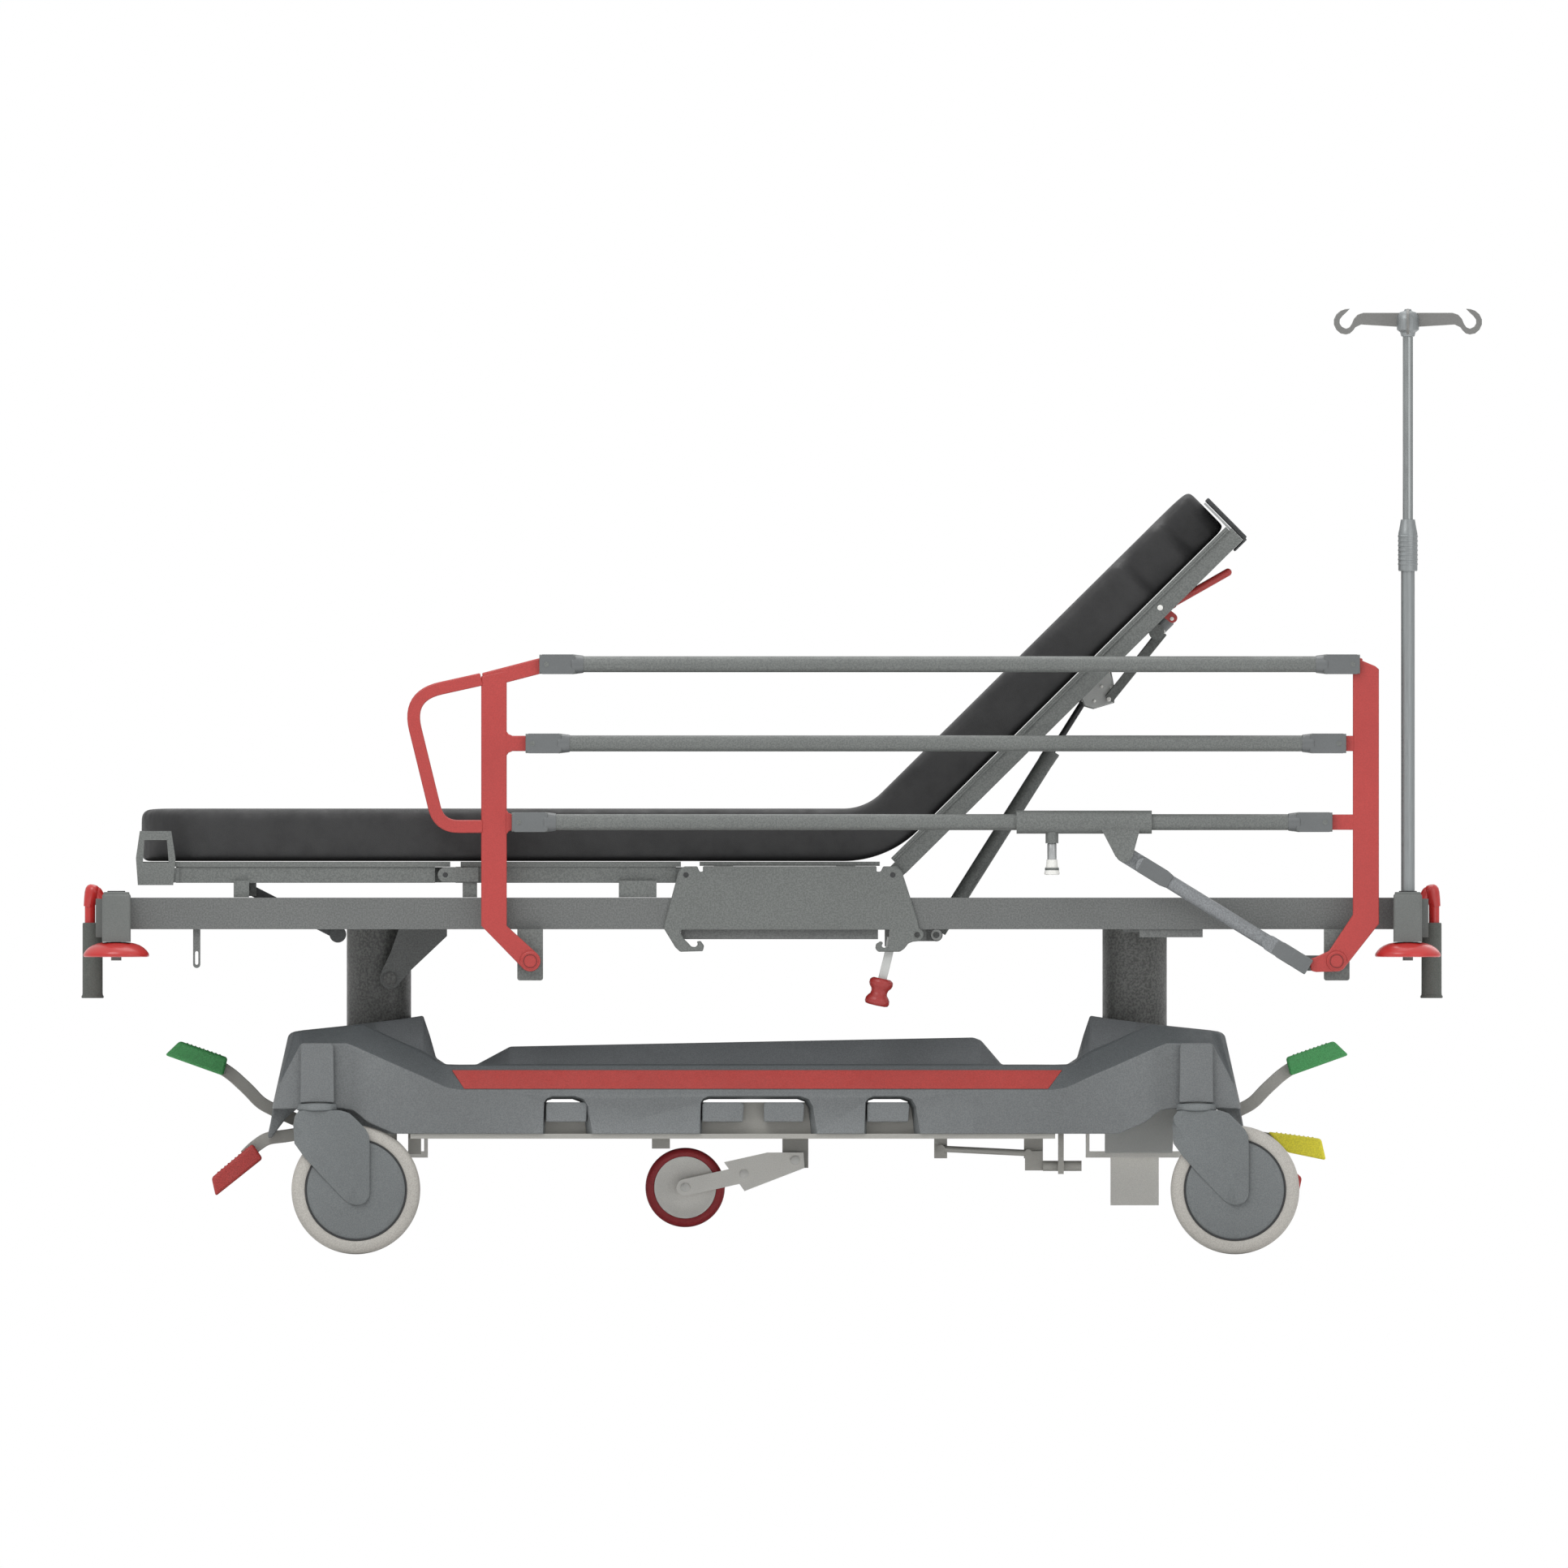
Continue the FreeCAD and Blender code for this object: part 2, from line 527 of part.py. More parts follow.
def back_deck():
    x, z = BACK_X, BACK_Z
    sheet = box(x + 16, x + 752, -318, 318, z + 12.5, z + 20.5)
    sheet = cut(sheet, box(x + 24, x + 744, -310, 310, z + 15.5, z + 30))
    guard = box(x + 752.2, x + 760, -250, 250, z - 14, z + 72)
    guard = soften(guard, 3, lambda e: along(e, V(0, 1, 0)))
    lip = box(x + 730, x + 755, -250, 250, z - 17, z - 12.7)
    return fuse(sheet, guard, lip)


def release_bar():
    x, z = BACK_X, BACK_Z
    route = [(604, -6), (700, -32)]
    points = [(x + u, -276, z + w) for u, w in route] + [(x + u, 276, z + w) for u, w in route[::-1]]
    tabs = []
    for y0 in (-284, 278):
        tabs.append(strip([bu(586, 3), bu(604, -6)], 15, y0, y0 + 6))
        tabs.append(strip([bu(586, 3), bu(589, -22)], 15, y0, y0 + 6))
    bar = fuse(pipe(points, 6), *tabs)
    return cut(bar, cyl_y(x + 586, z + 3, 4 + FIT, -300, 300))


def gas_spring():
    """Cylinder and rod lie along +X from the lower eye; both are turned to their rest angle."""
    ex, ez = GAS_EYE
    reach = math.hypot(GAS_TOP[0] - ex, GAS_TOP[1] - ez)
    shell = cut(cyl_x(0, ez, 12, ex + 7, ex + 330), cyl_x(0, ez, 8 + FIT, ex + 20, ex + 316),
                cyl_x(0, ez, 5 + FIT, ex + 300, ex + 340))
    eye = cut(fuse(cyl_y(ex, ez, 10, -10, 10), shell), cyl_y(ex, ez, 5 + FIT, -30, 30))
    piston = fuse(cyl_x(0, ez, 5, ex + 230, ex + reach), cyl_x(0, ez, 8, ex + 222, ex + 234),
                  cyl_y(ex + reach, ez, 9, -9, 9))
    piston = cut(piston, cyl_y(ex + reach, ez, 4, -20, 20))
    return eye, piston


solid("back_frame", back_frame(), BACK)
solid("back_deck", back_deck(), BACK)
solid("back_release_bar", release_bar(), BACK)
GAS_DEG = -math.degrees(math.atan2(GAS_TOP[1] - GAS_EYE[1], GAS_TOP[0] - GAS_EYE[0]))
cylinder, piston = gas_spring()
solid("gas_spring_cylinder", cylinder, (GAS_EYE, GAS_DEG))
solid("gas_spring_rod", piston, (GAS_EYE, GAS_DEG))


# ---- thigh and leg sections --------------------------------------------------------------------
def thigh_section():
    side = box(KNEE_X + 16, THIGH_X - 16, TUBE_IN, TUBE_OUT, DECK_Z - 12.5, DECK_Z + 12.5)
    low, high = DECK_Z - 12, DECK_Z + 12
    lugs = [cyl_y(THIGH_X, DECK_Z, 13, 308, 314), box(THIGH_X - 22, THIGH_X, 308, 314, low, high),
            cyl_y(KNEE_X, DECK_Z, 12, 308, 314), box(KNEE_X, KNEE_X + 22, 308, 314, low, high),
            cyl_y(KNEE_X, DECK_Z, 6, 290, 312)]
    stub = [box(-464.9, -442.3, 302, 324, 554, 580), box(-222.4, -163.8, 302, 326, 554, 580)]
    parts = pair(fuse(side, *(lugs + stub)))
    for x in (-440, -160):
        parts.append(box(x - 12, x + 12, -TUBE_IN - 1, TUBE_IN + 1, DECK_Z - 12, DECK_Z + 12))
    sheet = box(-468, -126, -318, 318, 601.5, 609.5)
    sheet = cut(sheet, box(-460, -134, -310, 310, 604.5, 620))
    whole = fuse(*(parts + [sheet]))
    return cut(whole, cyl_y(THIGH_X, DECK_Z, 6 + FIT, -340, 340))


def leg_section():
    side = box(-909.7, KNEE_X - 16, TUBE_IN, TUBE_OUT, DECK_Z - 12.5, DECK_Z + 12.5)
    lug = [cyl_y(KNEE_X, DECK_Z, 12, 292, 298), box(KNEE_X - 22, KNEE_X, 292, 298, DECK_Z - 12, DECK_Z + 12)]
    stub = [box(-820.3, -796.3, 302, 322, 554, 580)]
    frame = [(-966, 657), (-917, 657), (-910.5, 614), (-914, 573), (-969, 573), (-972, 615)]
    window = prism([(-959, 643), (-924, 643), (-921, 608), (-961, 608)], 310, 335)
    retainer = cut(prism(frame, 319.5, 327.5), window)
    retainer = fuse(retainer, box(-965, -905, 300, 320, 577, 600))
    prop_lug = [box(-812, -785, 282, 288, 556, 590), box(-812, -785, 282, 291, 577, 600)]
    parts = pair(fuse(side, retainer, *(lug + stub + prop_lug)))
    for x in (-895, -520):
        parts.append(box(x - 12, x + 12, -TUBE_IN - 1, TUBE_IN + 1, DECK_Z - 12, DECK_Z + 12))
    sheet = box(-962, -484, -318, 318, 601.5, 609.5)
    sheet = cut(sheet, box(-954, -492, -310, 310, 604.5, 620))
    whole = fuse(*(parts + [sheet]))
    return cut(whole, cyl_y(KNEE_X, DECK_Z, 6 + FIT, -299, 299), cyl_y(-798.8, 568, 5 + FIT, -300, 300))


def leg_prop():
    bar = strip([(-798.8, 568), (-658.5, 496.7)], 16, 274, 281.5)
    return both(fuse(bar, cyl_y(-658.5, 496.7, 13, 262, 284), cyl_y(-798.8, 568, 5, 272, 289)))


solid("thigh_section", thigh_section())
solid("leg_section", leg_section())
solid("leg_prop", leg_prop())


# ---- siderails: the near one is modelled, the far one is its mirror image ----------------------
def at(pin_x, name):
    dx, dz = RAIL_PIVOTS[name]
    return pin_x + dx, RAIL_PIN_Z + dz


def plate_holes(pin_x):
    holes = [cyl_y(*at(pin_x, n), 4 + FIT, -400, -340) for n in RAIL_PIVOTS]
    return holes + [cyl_y(pin_x, RAIL_PIN_Z, 8 + FIT, -400, -340)]


def foot_upright():
    near, far = -RAIL_Y - 4, -RAIL_Y + 4
    leg = prism([(-436, 508), (-396.3, 508), (-396.3, 912), (-402, 915), (-436, 896)], near, far)
    arms = [strip([(-408, 900), at(RAIL_PIN_FOOT, "top")], 24, near, far),
            strip([(-414, 793), at(RAIL_PIN_FOOT, "mid")], 24, near, far),
            strip([(-414, 670.8), at(RAIL_PIN_FOOT, "low")], 24, near, far)]
    bend = prism([(-436, 510), (-396.3, 510), (-350, 463), (-372, 443)], near, far)
    foot = strip([(-400, 496), (RAIL_PIN_FOOT, RAIL_PIN_Z)], 32, near, far)
    grab = strip([(-425, 890), (-494, 878), (-522, 862), (-537, 838), (-539, 812), (-534, 780), (-511, 706),
                  (-496, 683), (-466, 666), (-425, 666)], 20, near - 2, far + 2)
    return cut(fuse(leg, bend, foot, grab, *arms), *plate_holes(RAIL_PIN_FOOT))


def head_upright():
    near, far = -RAIL_Y - 4, -RAIL_Y + 4
    leg = prism([(917, 515), (957.6, 515), (957.6, 908), (952, 913), (921, 926), (917, 926)], near, far)
    arms = [strip([(930, 913), at(RAIL_PIN_HEAD, "top")], 24, near, far),
            strip([(930, 787), at(RAIL_PIN_HEAD, "mid")], 24, near, far),
            strip([(930, 662), at(RAIL_PIN_HEAD, "low")], 24, near, far)]
    bend = prism([(917, 527), (957.6, 515), (957.6, 513), (911, 450), (892, 440), (880, 462)], near, far)
    tail = prism([(860, 459), (892, 471), (892, 439), (864, 438), (860, 442)], near, far)
    pin = cyl_y(RAIL_PIN_HEAD, RAIL_PIN_Z, 16, near, far)
    return cut(fuse(leg, bend, tail, pin, *arms), *plate_holes(RAIL_PIN_HEAD))


def clevis(x, z, inward):
    """Inward is +1 where the rail runs to the head from this pivot."""
    x0, x1 = sorted((x - 11.0 * inward, x + 45.0 * inward))
    body = box(x0, x1, -RAIL_Y - 13, -RAIL_Y + 13, z - 15, z + 15)
    body = soften(body, 4, lambda e: along(e, V(1, 0, 0)))
    x0, x1 = sorted((x - 12.0 * inward, x + 22.0 * inward))
    body = cut(body, box(x0, x1, -RAIL_Y - 4.3, -RAIL_Y + 4.3, z - 16, z + 16))
    return fuse(body, cyl_y(x, z, 4, -RAIL_Y - 14.5, -RAIL_Y + 14.5))


def rail(name):
    xa, z = at(RAIL_PIN_FOOT, name)
    xb = at(RAIL_PIN_HEAD, name)[0]
    return fuse(clevis(xa, z, 1), clevis(xb, z, -1), cyl_x(-RAIL_Y, z, 12.5, xa + 40, xb - 40))


def rail_sleeve():
    z = at(RAIL_PIN_FOOT, "low")[1]
    tx, tz = STRUT_TOP
    cheek = [(tx - 38, z - 6), (tx + 26, z - 6), (tx + 13, tz - 5), (tx - 13, tz - 5)]
    parts = [cyl_x(-RAIL_Y, z, 18, 395, 605)]
    for y0 in (-RAIL_Y - 14, -RAIL_Y + 8):
        parts += [prism(cheek, y0, y0 + 6), cyl_y(tx, tz, 13, y0, y0 + 6)]
    parts += [cyl_z(450, -RAIL_Y, 10, 638, 660), cyl_z(450, -RAIL_Y, 6.5, 605, 640),
              cyl_z(450, -RAIL_Y, 8, 599, 611.6), cyl_z(450, -RAIL_Y, 11, 589.6, 600)]
    return cut(fuse(*parts), cyl_x(-RAIL_Y, z, 12.5 + FIT, 380, 620))


def rail_strut():
    (ax, az), (bx, bz) = STRUT_FOOT, STRUT_TOP
    length = math.hypot(bx - ax, bz - az)
    dx, dz = (bx - ax) / length, (bz - az) / length

    def on(t):
        return ax + dx * t, az + dz * t

    y = -RAIL_Y
    lugs = [strip([on(0), on(36)], 26, y - 4, y + 4), strip([on(length - 36), on(length)], 26, y - 4, y + 4)]
    ends = [(on(36), on(58)), (on(length - 58), on(length - 36))]
    socks = [strip(list(e), 25, y - 12, y + 12) for e in ends]
    (px, pz), (qx, qz) = on(50), on(length - 50)
    bar = rod((px, y, pz), (qx, y, qz), 11)
    whole = fuse(bar, *(lugs + socks))
    return cut(whole, cyl_y(ax, az, 6 + FIT, -400, -340), cyl_y(bx, bz, 5, -400, -340))


SIDERAIL = {"foot_upright": foot_upright(), "head_upright": head_upright(), "rail_top": rail("top"),
            "rail_mid": rail("mid"), "rail_low": rail("low"), "rail_sleeve": rail_sleeve(),
            "rail_strut": rail_strut()}
for piece, shape in SIDERAIL.items():
    solid(piece + "_near", shape)
    solid(piece + "_far", flip(shape))


# ---- infusion pole -----------------------------------------------------------------------------
def pole_lower():
    tube = cyl_z(CORNER_X, POLE_Y, 10.65, 500, 1064)
    profile = [V(0, 0, 1061), V(14.5, 0, 1061), V(14.5, 0, 1118), V(11.5, 0, 1134), V(10.5, 0, 1140),
               V(0, 0, 1140)]
    collar = Part.Face(Part.makePolygon(profile + profile[:1])).revolve(V(0, 0, 0), V(0, 0, 1), 360)
    collar.translate(V(CORNER_X, POLE_Y, 0))
    return cut(fuse(tube, collar), cyl_z(CORNER_X, POLE_Y, 8 + FIT, 490, 1150))


def pole_upper():
    stem = cyl_z(0, 0, 8, 800, 1450)
    profile = [V(0, 0, 1426), V(10, 0, 1426), V(16.9, 0, 1434), V(16.9, 0, 1456), V(13, 0, 1461.5),
               V(0, 0, 1461.5)]
    hub = Part.Face(Part.makePolygon(profile + profile[:1])).revolve(V(0, 0, 0), V(0, 0, 1), 360)
    parts = [stem, hub]
    turn = [200, 235, 270, 305, 340, 15, 45]
    arc = [(96.8 + 14.6 * math.cos(math.radians(a)), 1446 + 14.6 * math.sin(math.radians(a)))
           for a in turn]
    line = [(10, 1451), (70, 1451)] + arc + [(104, 1464)]
    hook = pipe([(x, 0, z) for x, z in line], 4)
    for quarter in range(4):
        arm = hook.copy()
        arm.rotate(V(0, 0, 0), V(0, 0, 1), 90 * quarter)
        parts.append(arm)
    whole = fuse(*parts)
    whole.translate(V(CORNER_X, POLE_Y, 0))
    return whole


solid("iv_pole_lower", pole_lower())
solid("iv_pole_upper", pole_upper())


# ---- mattress sections -------------------------------------------------------------------------
def pad(x0, x1):
    block = box(x0, x1, -PAD_Y, PAD_Y, PAD_LOW, PAD_HIGH)
    return soften(block, 12, lambda e: along(e, V(0, 1, 0)) or along(e, V(0, 0, 1)))


solid("mattress_leg", pad(-966.0, KNEE_X - 2))
solid("mattress_thigh", pad(KNEE_X + 2, THIGH_X - 30))
solid("mattress_seat", pad(THIGH_X + 28, BACK_X - 75))
solid("mattress_back", pad(BACK_X + 50, BACK_X + 746), BACK)

for name, shape in NODES.items():
    shape.exportStep("parts/" + name + ".step")
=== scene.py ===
import bmesh
import bpy
import math
from functools import partial
from mathutils import Matrix, Vector


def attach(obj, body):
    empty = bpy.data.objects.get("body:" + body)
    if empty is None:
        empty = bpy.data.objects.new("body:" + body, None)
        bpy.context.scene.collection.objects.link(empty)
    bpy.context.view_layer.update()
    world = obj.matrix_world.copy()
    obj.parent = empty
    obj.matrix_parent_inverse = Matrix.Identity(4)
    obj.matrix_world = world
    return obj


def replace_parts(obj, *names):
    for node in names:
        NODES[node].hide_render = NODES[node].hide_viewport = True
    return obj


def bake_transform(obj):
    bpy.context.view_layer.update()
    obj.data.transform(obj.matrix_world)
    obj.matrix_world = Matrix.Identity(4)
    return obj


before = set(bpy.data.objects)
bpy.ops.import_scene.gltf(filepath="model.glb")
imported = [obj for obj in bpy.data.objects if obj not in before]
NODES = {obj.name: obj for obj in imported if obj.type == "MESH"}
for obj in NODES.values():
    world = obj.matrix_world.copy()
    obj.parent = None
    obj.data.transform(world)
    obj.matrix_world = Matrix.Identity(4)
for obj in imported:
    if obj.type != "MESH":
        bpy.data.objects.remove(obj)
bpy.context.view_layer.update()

# Sizes below are millimetres from the middle of the frame, centre line and floor, as the design has them.
OFF = Vector((-30.35, 32.3, 0.0))
VIEW_SIZE = 2.434       # metres across the photo
AXLE_Z = 100.0
SWIVEL_FOOT, SWIVEL_HEAD, SWIVEL_Y = -690.5, 674.1, 290.0
PEDAL_Z = 194.5
POST_X = 1002.5         # corner bumpers and pole sockets
KNEE_X, THIGH_X, HINGE_Z = -491.7, -117.8, 588.9
UPRIGHT_FOOT, UPRIGHT_HEAD, UPRIGHT_Z = -360, 892, 455      # pins that a siderail folds on
RAIL_Y = 370            # middle plane of a siderail
COVER_FLIP = -17.0      # twice the x about which the base cover's two ends mirror

ALONG_Y, ALONG_Z = (0, 1, 0), (0, 0, 1)
ENDS = (("foot", -1), ("head", 1))
SIDES = (("near", -1), ("far", 1))
CORNERS = ((-1, -1), (-1, 1), (1, -1), (1, 1))


def pt(x, y, z):
    return Vector((x + OFF.x, y + OFF.y, z)) / 1000.0


def span(side, a, b):
    """The range a to b on one side of the middle, in rising order."""
    return sorted((side * a, side * b))


# ---- materials ----
def linear(code):
    out = []
    for i in (0, 2, 4):
        c = int(code[i:i + 2], 16) / 255.0
        out.append(c / 12.92 if c <= 0.04045 else ((c + 0.055) / 1.055) ** 2.4)
    return tuple(out) + (1.0,)


def set_inputs(node, **values):
    """Sets input values; an underscore in a name stands for a space."""
    for key, value in values.items():
        node.inputs[key.replace("_", " ")].default_value = value
    return node


def add_node(tree, kind, **values):
    return set_inputs(tree.nodes.new("ShaderNode" + kind), **values)


class Finish:
    """A principled shader whose colour, roughness and bump come from object-space noise."""

    def __init__(self, name, code, metallic=0.0, coat=0.0, sheen=0.0):
        self.mat = bpy.data.materials.new(name)
        self.mat.use_nodes = True
        self.tree = self.mat.node_tree
        self.shader = self.tree.nodes["Principled BSDF"]
        self.base = linear(code)
        set_inputs(self.shader, Metallic=metallic, Coat_Weight=coat, Coat_Roughness=0.12,
                Sheen_Weight=sheen)
        self.coords = add_node(self.tree, "TexCoord").outputs["Object"]
        self.normal = None
        self.colour = None
        self.mat.diffuse_color = self.base

    def link(self, a, b):
        self.tree.links.new(a, b)

    def noise(self, scale, detail=4.0, stretch=None, rough=0.6):
        source = self.coords
        if stretch:
            mapping = add_node(self.tree, "Mapping", Scale=stretch)
            self.link(source, mapping.inputs["Vector"])
            source = mapping.outputs["Vector"]
        n = add_node(self.tree, "TexNoise", Scale=scale, Detail=detail, Roughness=rough)
        self.link(source, n.inputs["Vector"])
        return n.outputs["Fac"]

    def cells(self, scale):
        n = add_node(self.tree, "TexVoronoi", Scale=scale)
        self.link(self.coords, n.inputs["Vector"])
        return n.outputs["Distance"]

    def ramp(self, fac, lo, hi, a, b):
        r = add_node(self.tree, "ValToRGB")
        for stop, place, colour in zip(r.color_ramp.elements, (lo, hi), (a, b)):
            stop.position = place
            stop.color = colour
        self.link(fac, r.inputs["Fac"])
        return r.outputs["Color"]

    def vary(self, fac, lo=0.3, hi=0.7, dark=0.85, light=1.12):
        """Darker and lighter drift of the base colour along fac."""
        shade = self.ramp(fac, lo, hi, (dark, dark, dark, 1), (light, light, light, 1))
        mix = self.tree.nodes.new("ShaderNodeMix")
        mix.data_type = "RGBA"
        mix.blend_type = "MULTIPLY"
        mix.inputs["Factor"].default_value = 1.0
        if self.colour is None:
            mix.inputs["A"].default_value = self.base
        else:
            self.link(self.colour, mix.inputs["A"])
        self.link(shade, mix.inputs["B"])
        self.colour = mix.outputs["Result"]
        return self

    def bump(self, fac, strength, distance):
        b = add_node(self.tree, "Bump", Strength=strength, Distance=distance)
        self.link(fac, b.inputs["Height"])
        if self.normal is not None:
            self.link(self.normal, b.inputs["Normal"])
        self.normal = b.outputs["Normal"]
        return self

    def edges(self, gain=1.35, lo=0.51, hi=0.58):
        """Painted highlight: lighter along rounded edges, where light catches them."""
        point = add_node(self.tree, "NewGeometry").outputs["Pointiness"]
        return self.vary(point, lo, hi, 1.0, gain)

    def rub(self, fac, lo, hi):
        m = add_node(self.tree, "MapRange", From_Min=0.3, From_Max=0.7, To_Min=lo, To_Max=hi)
        self.link(fac, m.inputs["Value"])
        self.link(m.outputs["Result"], self.shader.inputs["Roughness"])
        return self

    def done(self):
        if self.colour is not None:
            self.link(self.colour, self.shader.inputs["Base Color"])
        else:
            self.shader.inputs["Base Color"].default_value = self.base
        if self.normal is not None:
            self.link(self.normal, self.shader.inputs["Normal"])
        return self.mat


def powder(name, code, rough=0.5, speck=420.0, light=1.2, dark=0.82):
    """Powder coat: fine orange peel, light speckle, slow drift of shade."""
    f = Finish(name, code)
    f.vary(f.noise(speck, 3.0), 0.4, 0.6, dark, light)
    f.vary(f.noise(6.0, 3.0), 0.3, 0.7, 0.94, 1.05)
    f.bump(f.noise(speck * 0.7, 3.0), 0.25, 0.0004)
    f.rub(f.noise(40.0, 4.0), rough - 0.08, rough + 0.1)
    return f.done()


def moulded(name, code, rough=0.62, grain=1500.0, depth=0.35, edge_light=0.0):
    """Moulded plastic: leather-fine grain from cells, faint scuffs; a nonzero last argument adds a painted
    highlight along rounded edges.
    """
    f = Finish(name, code)
    # a painted highlight along rounded edges
    if edge_light:
        f.edges(edge_light)
    f.vary(f.noise(min(grain * 0.35, 600.0), 3.0), 0.4, 0.6, 0.87, 1.14)
    f.vary(f.noise(5.0, 2.0), 0.3, 0.7, 0.95, 1.05)
    f.bump(f.cells(grain * 0.5), depth, 0.0005)
    f.rub(f.noise(60.0, 5.0), rough - 0.1, rough + 0.1)
    return f.done()


def metal(name, code, rough=0.35, metallic=0.9, stretch=(4, 4, 60), scale=40.0, coat=0.0):
    """Plated or machined metal with fine drawn lines."""
    f = Finish(name, code, metallic, coat)
    f.vary(f.noise(scale, 4.0, stretch), 0.3, 0.7, 0.9, 1.08)
    f.bump(f.noise(scale * 2, 2.0, stretch), 0.08, 0.0003)
    f.rub(f.noise(25.0, 4.0), rough - 0.08, rough + 0.1)
    return f.done()


def gloss(name, code, rough=0.28, coat=0.5):
    """Smooth moulded plastic with a soft shine and faint rub marks."""
    f = Finish(name, code, coat=coat)
    f.vary(f.noise(7.0, 4.0), 0.3, 0.7, 0.93, 1.06)
    f.vary(f.noise(500.0, 2.0), 0.35, 0.65, 0.96, 1.04)
    f.bump(f.noise(260.0, 2.0), 0.06, 0.0004)
    f.rub(f.noise(30.0, 5.0), rough - 0.06, rough + 0.12)
    return f.done()


def vinyl(name, code):
    """Coated upholstery fabric: soft cell grain over a slow ripple."""
    f = Finish(name, code, sheen=0.02)
    f.vary(f.noise(900.0, 3.0), 0.35, 0.65, 0.85, 1.18)
    f.vary(f.noise(5.0, 3.0), 0.3, 0.7, 0.95, 1.06)
    f.bump(f.noise(14.0, 3.0), 0.08, 0.004)
    f.bump(f.cells(1100.0), 0.3, 0.0004)
    f.rub(f.noise(30.0, 4.0), 0.52, 0.72)
    return f.done()


M = {
    "grey_paint": powder("grey_powder_coat", "5f6260"),
    "frame_paint": powder("frame_powder_coat", "5d5f5e"),
    "column_paint": powder("column_hammer_coat", "565755", 0.4, 300.0, 1.4, 0.66),
    "block_paint": powder("block_powder_coat", "5f6260", 0.6, 700.0, 1.08, 0.93),
    "red_paint": powder("red_powder_coat", "a03330", 0.45, 500.0, 1.08, 0.92),
    "red_plastic": gloss("red_moulded_plastic", "ae211f", 0.34, 0.3),
    "dark_paint": powder("dark_powder_coat", "393b3c"),
    # The cover plastic gets a painted highlight along its rounded edges.
    "cover_grey": moulded("cover_plastic_painted_edge_highlight", "5d6061", edge_light=1.5),
    # A darker copy of the cover plastic for the cover's upward slopes: painted shade.
    "cover_shaded_slope": moulded("cover_plastic_painted_shade_slopes", "4b4f51"),
    "grey_plastic": moulded("grey_grained_plastic", "5f6260", 0.6, 2200.0, 0.25),
    # The fork plastic gets a painted highlight along its rounded edges.
    "fork_plastic": moulded("fork_plastic_painted_edge_highlight", "606465", 0.6, 2200.0, 0.2, 1.5),
    "fitting": gloss("grey_fitting_plastic", "5b5e5f", 0.42, 0.15),
    "cap_plastic": moulded("castor_cap_plastic", "636768", 0.58, 2600.0, 0.15),
    "rubber": moulded("grip_rubber", "4d504c", 0.75, 2000.0, 0.3),
    "dark_rubber": moulded("dark_rubber", "2f3031", 0.7, 2000.0, 0.3),
    "tyre": moulded("pale_tyre_rubber", "a4a19b", 0.6, 3000.0, 0.12),
    "red_tyre": moulded("red_tyre_rubber", "a02a30", 0.55, 3000.0, 0.15),
    "strut_paint": powder("strut_powder_coat", "727577"),
    "green_pad": moulded("green_pedal_rubber", "3c8a4d", 0.6, 1500.0, 0.3),
    "red_pad": moulded("red_pedal_rubber", "9f322f", 0.6, 1500.0, 0.3),
    "yellow_pad": moulded("yellow_pedal_rubber", "d0c62f", 0.6, 1500.0, 0.3),
    "zinc": metal("zinc_plate", "e2e1dc", 0.55, 0.1, (6, 6, 6), 120.0),
    "pale_steel": metal("pale_steel", "969590", 0.5, 0.12, (6, 6, 40), 60.0),
    "chrome": metal("satin_chrome", "939797", 0.24, 0.85, (60, 60, 2), 12.0),
    "tube_grey": metal("pole_tube", "868a8b", 0.4, 0.6, (60, 60, 2), 12.0),
    "dark_steel": metal("dark_steel", "2d2e2f", 0.35, 0.5, (6, 6, 6), 80.0),
    "silver": metal("silver_trim", "a1a3a3", 0.35, 0.7, (60, 2, 60), 12.0),
    "white_plastic": gloss("white_plastic", "d8d8d4", 0.4, 0.2),
    "light_plastic": gloss("light_grey_plastic", "b0b2b0", 0.5, 0.1),
    "vinyl": vinyl("upholstery_vinyl", "1d1d1e"),
    # A darker copy of the cover plastic for the cover's hump: painted shade.
    "cover_shaded_hump": moulded("cover_plastic_painted_shade_hump", "575a5c"),
    "knob_red": gloss("red_knob_plastic", "8e2321", 0.42, 0.15),
    "hook_metal": metal("hook_plate", "777775", 0.45, 0.5, (30, 30, 30), 60.0),
    # A darker red for the ring that marks each pivot's engraved groove: painted shade in the groove.
    "groove_shade_red": gloss("pivot_groove_painted_shade", "6b1c1a", 0.5, 0.1),
    "red_stripe": moulded("red_trim", "992f2a", 0.55, 1500.0, 0.2),
}


# ---- mesh helpers ----
def mesh_object(name, bm):
    """Links a new object made from bm, and frees bm."""
    mesh = bpy.data.meshes.new(name)
    bm.to_mesh(mesh)
    bm.free()
    ob = bpy.data.objects.new(name, mesh)
    bpy.context.scene.collection.objects.link(ob)
    return ob


def formed(add, *args, **options):
    """A new bmesh with one add_ shape in it."""
    bm = bmesh.new()
    add(bm, *args, **options)
    return bm


def obj_from(name, bm, material, body, smooth=35.0, mods=()):
    bmesh.ops.recalc_face_normals(bm, faces=bm.faces)
    ob = mesh_object(name, bm)
    mesh = ob.data
    mesh.materials.append(M[material])
    for mod in mods:
        mod(ob)
    if smooth:
        mesh.shade_smooth()
        mesh.set_sharp_from_angle(angle=math.radians(smooth))
    if body:
        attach(ob, body)
    return ob


def bevel(width, segments=2, angle=30.0):
    def add(ob):
        m = ob.modifiers.new("edges", "BEVEL")
        m.width = width / 1000.0
        m.segments = segments
        m.limit_method = "ANGLE"
        m.angle_limit = math.radians(angle)
        m.harden_normals = False
    return add


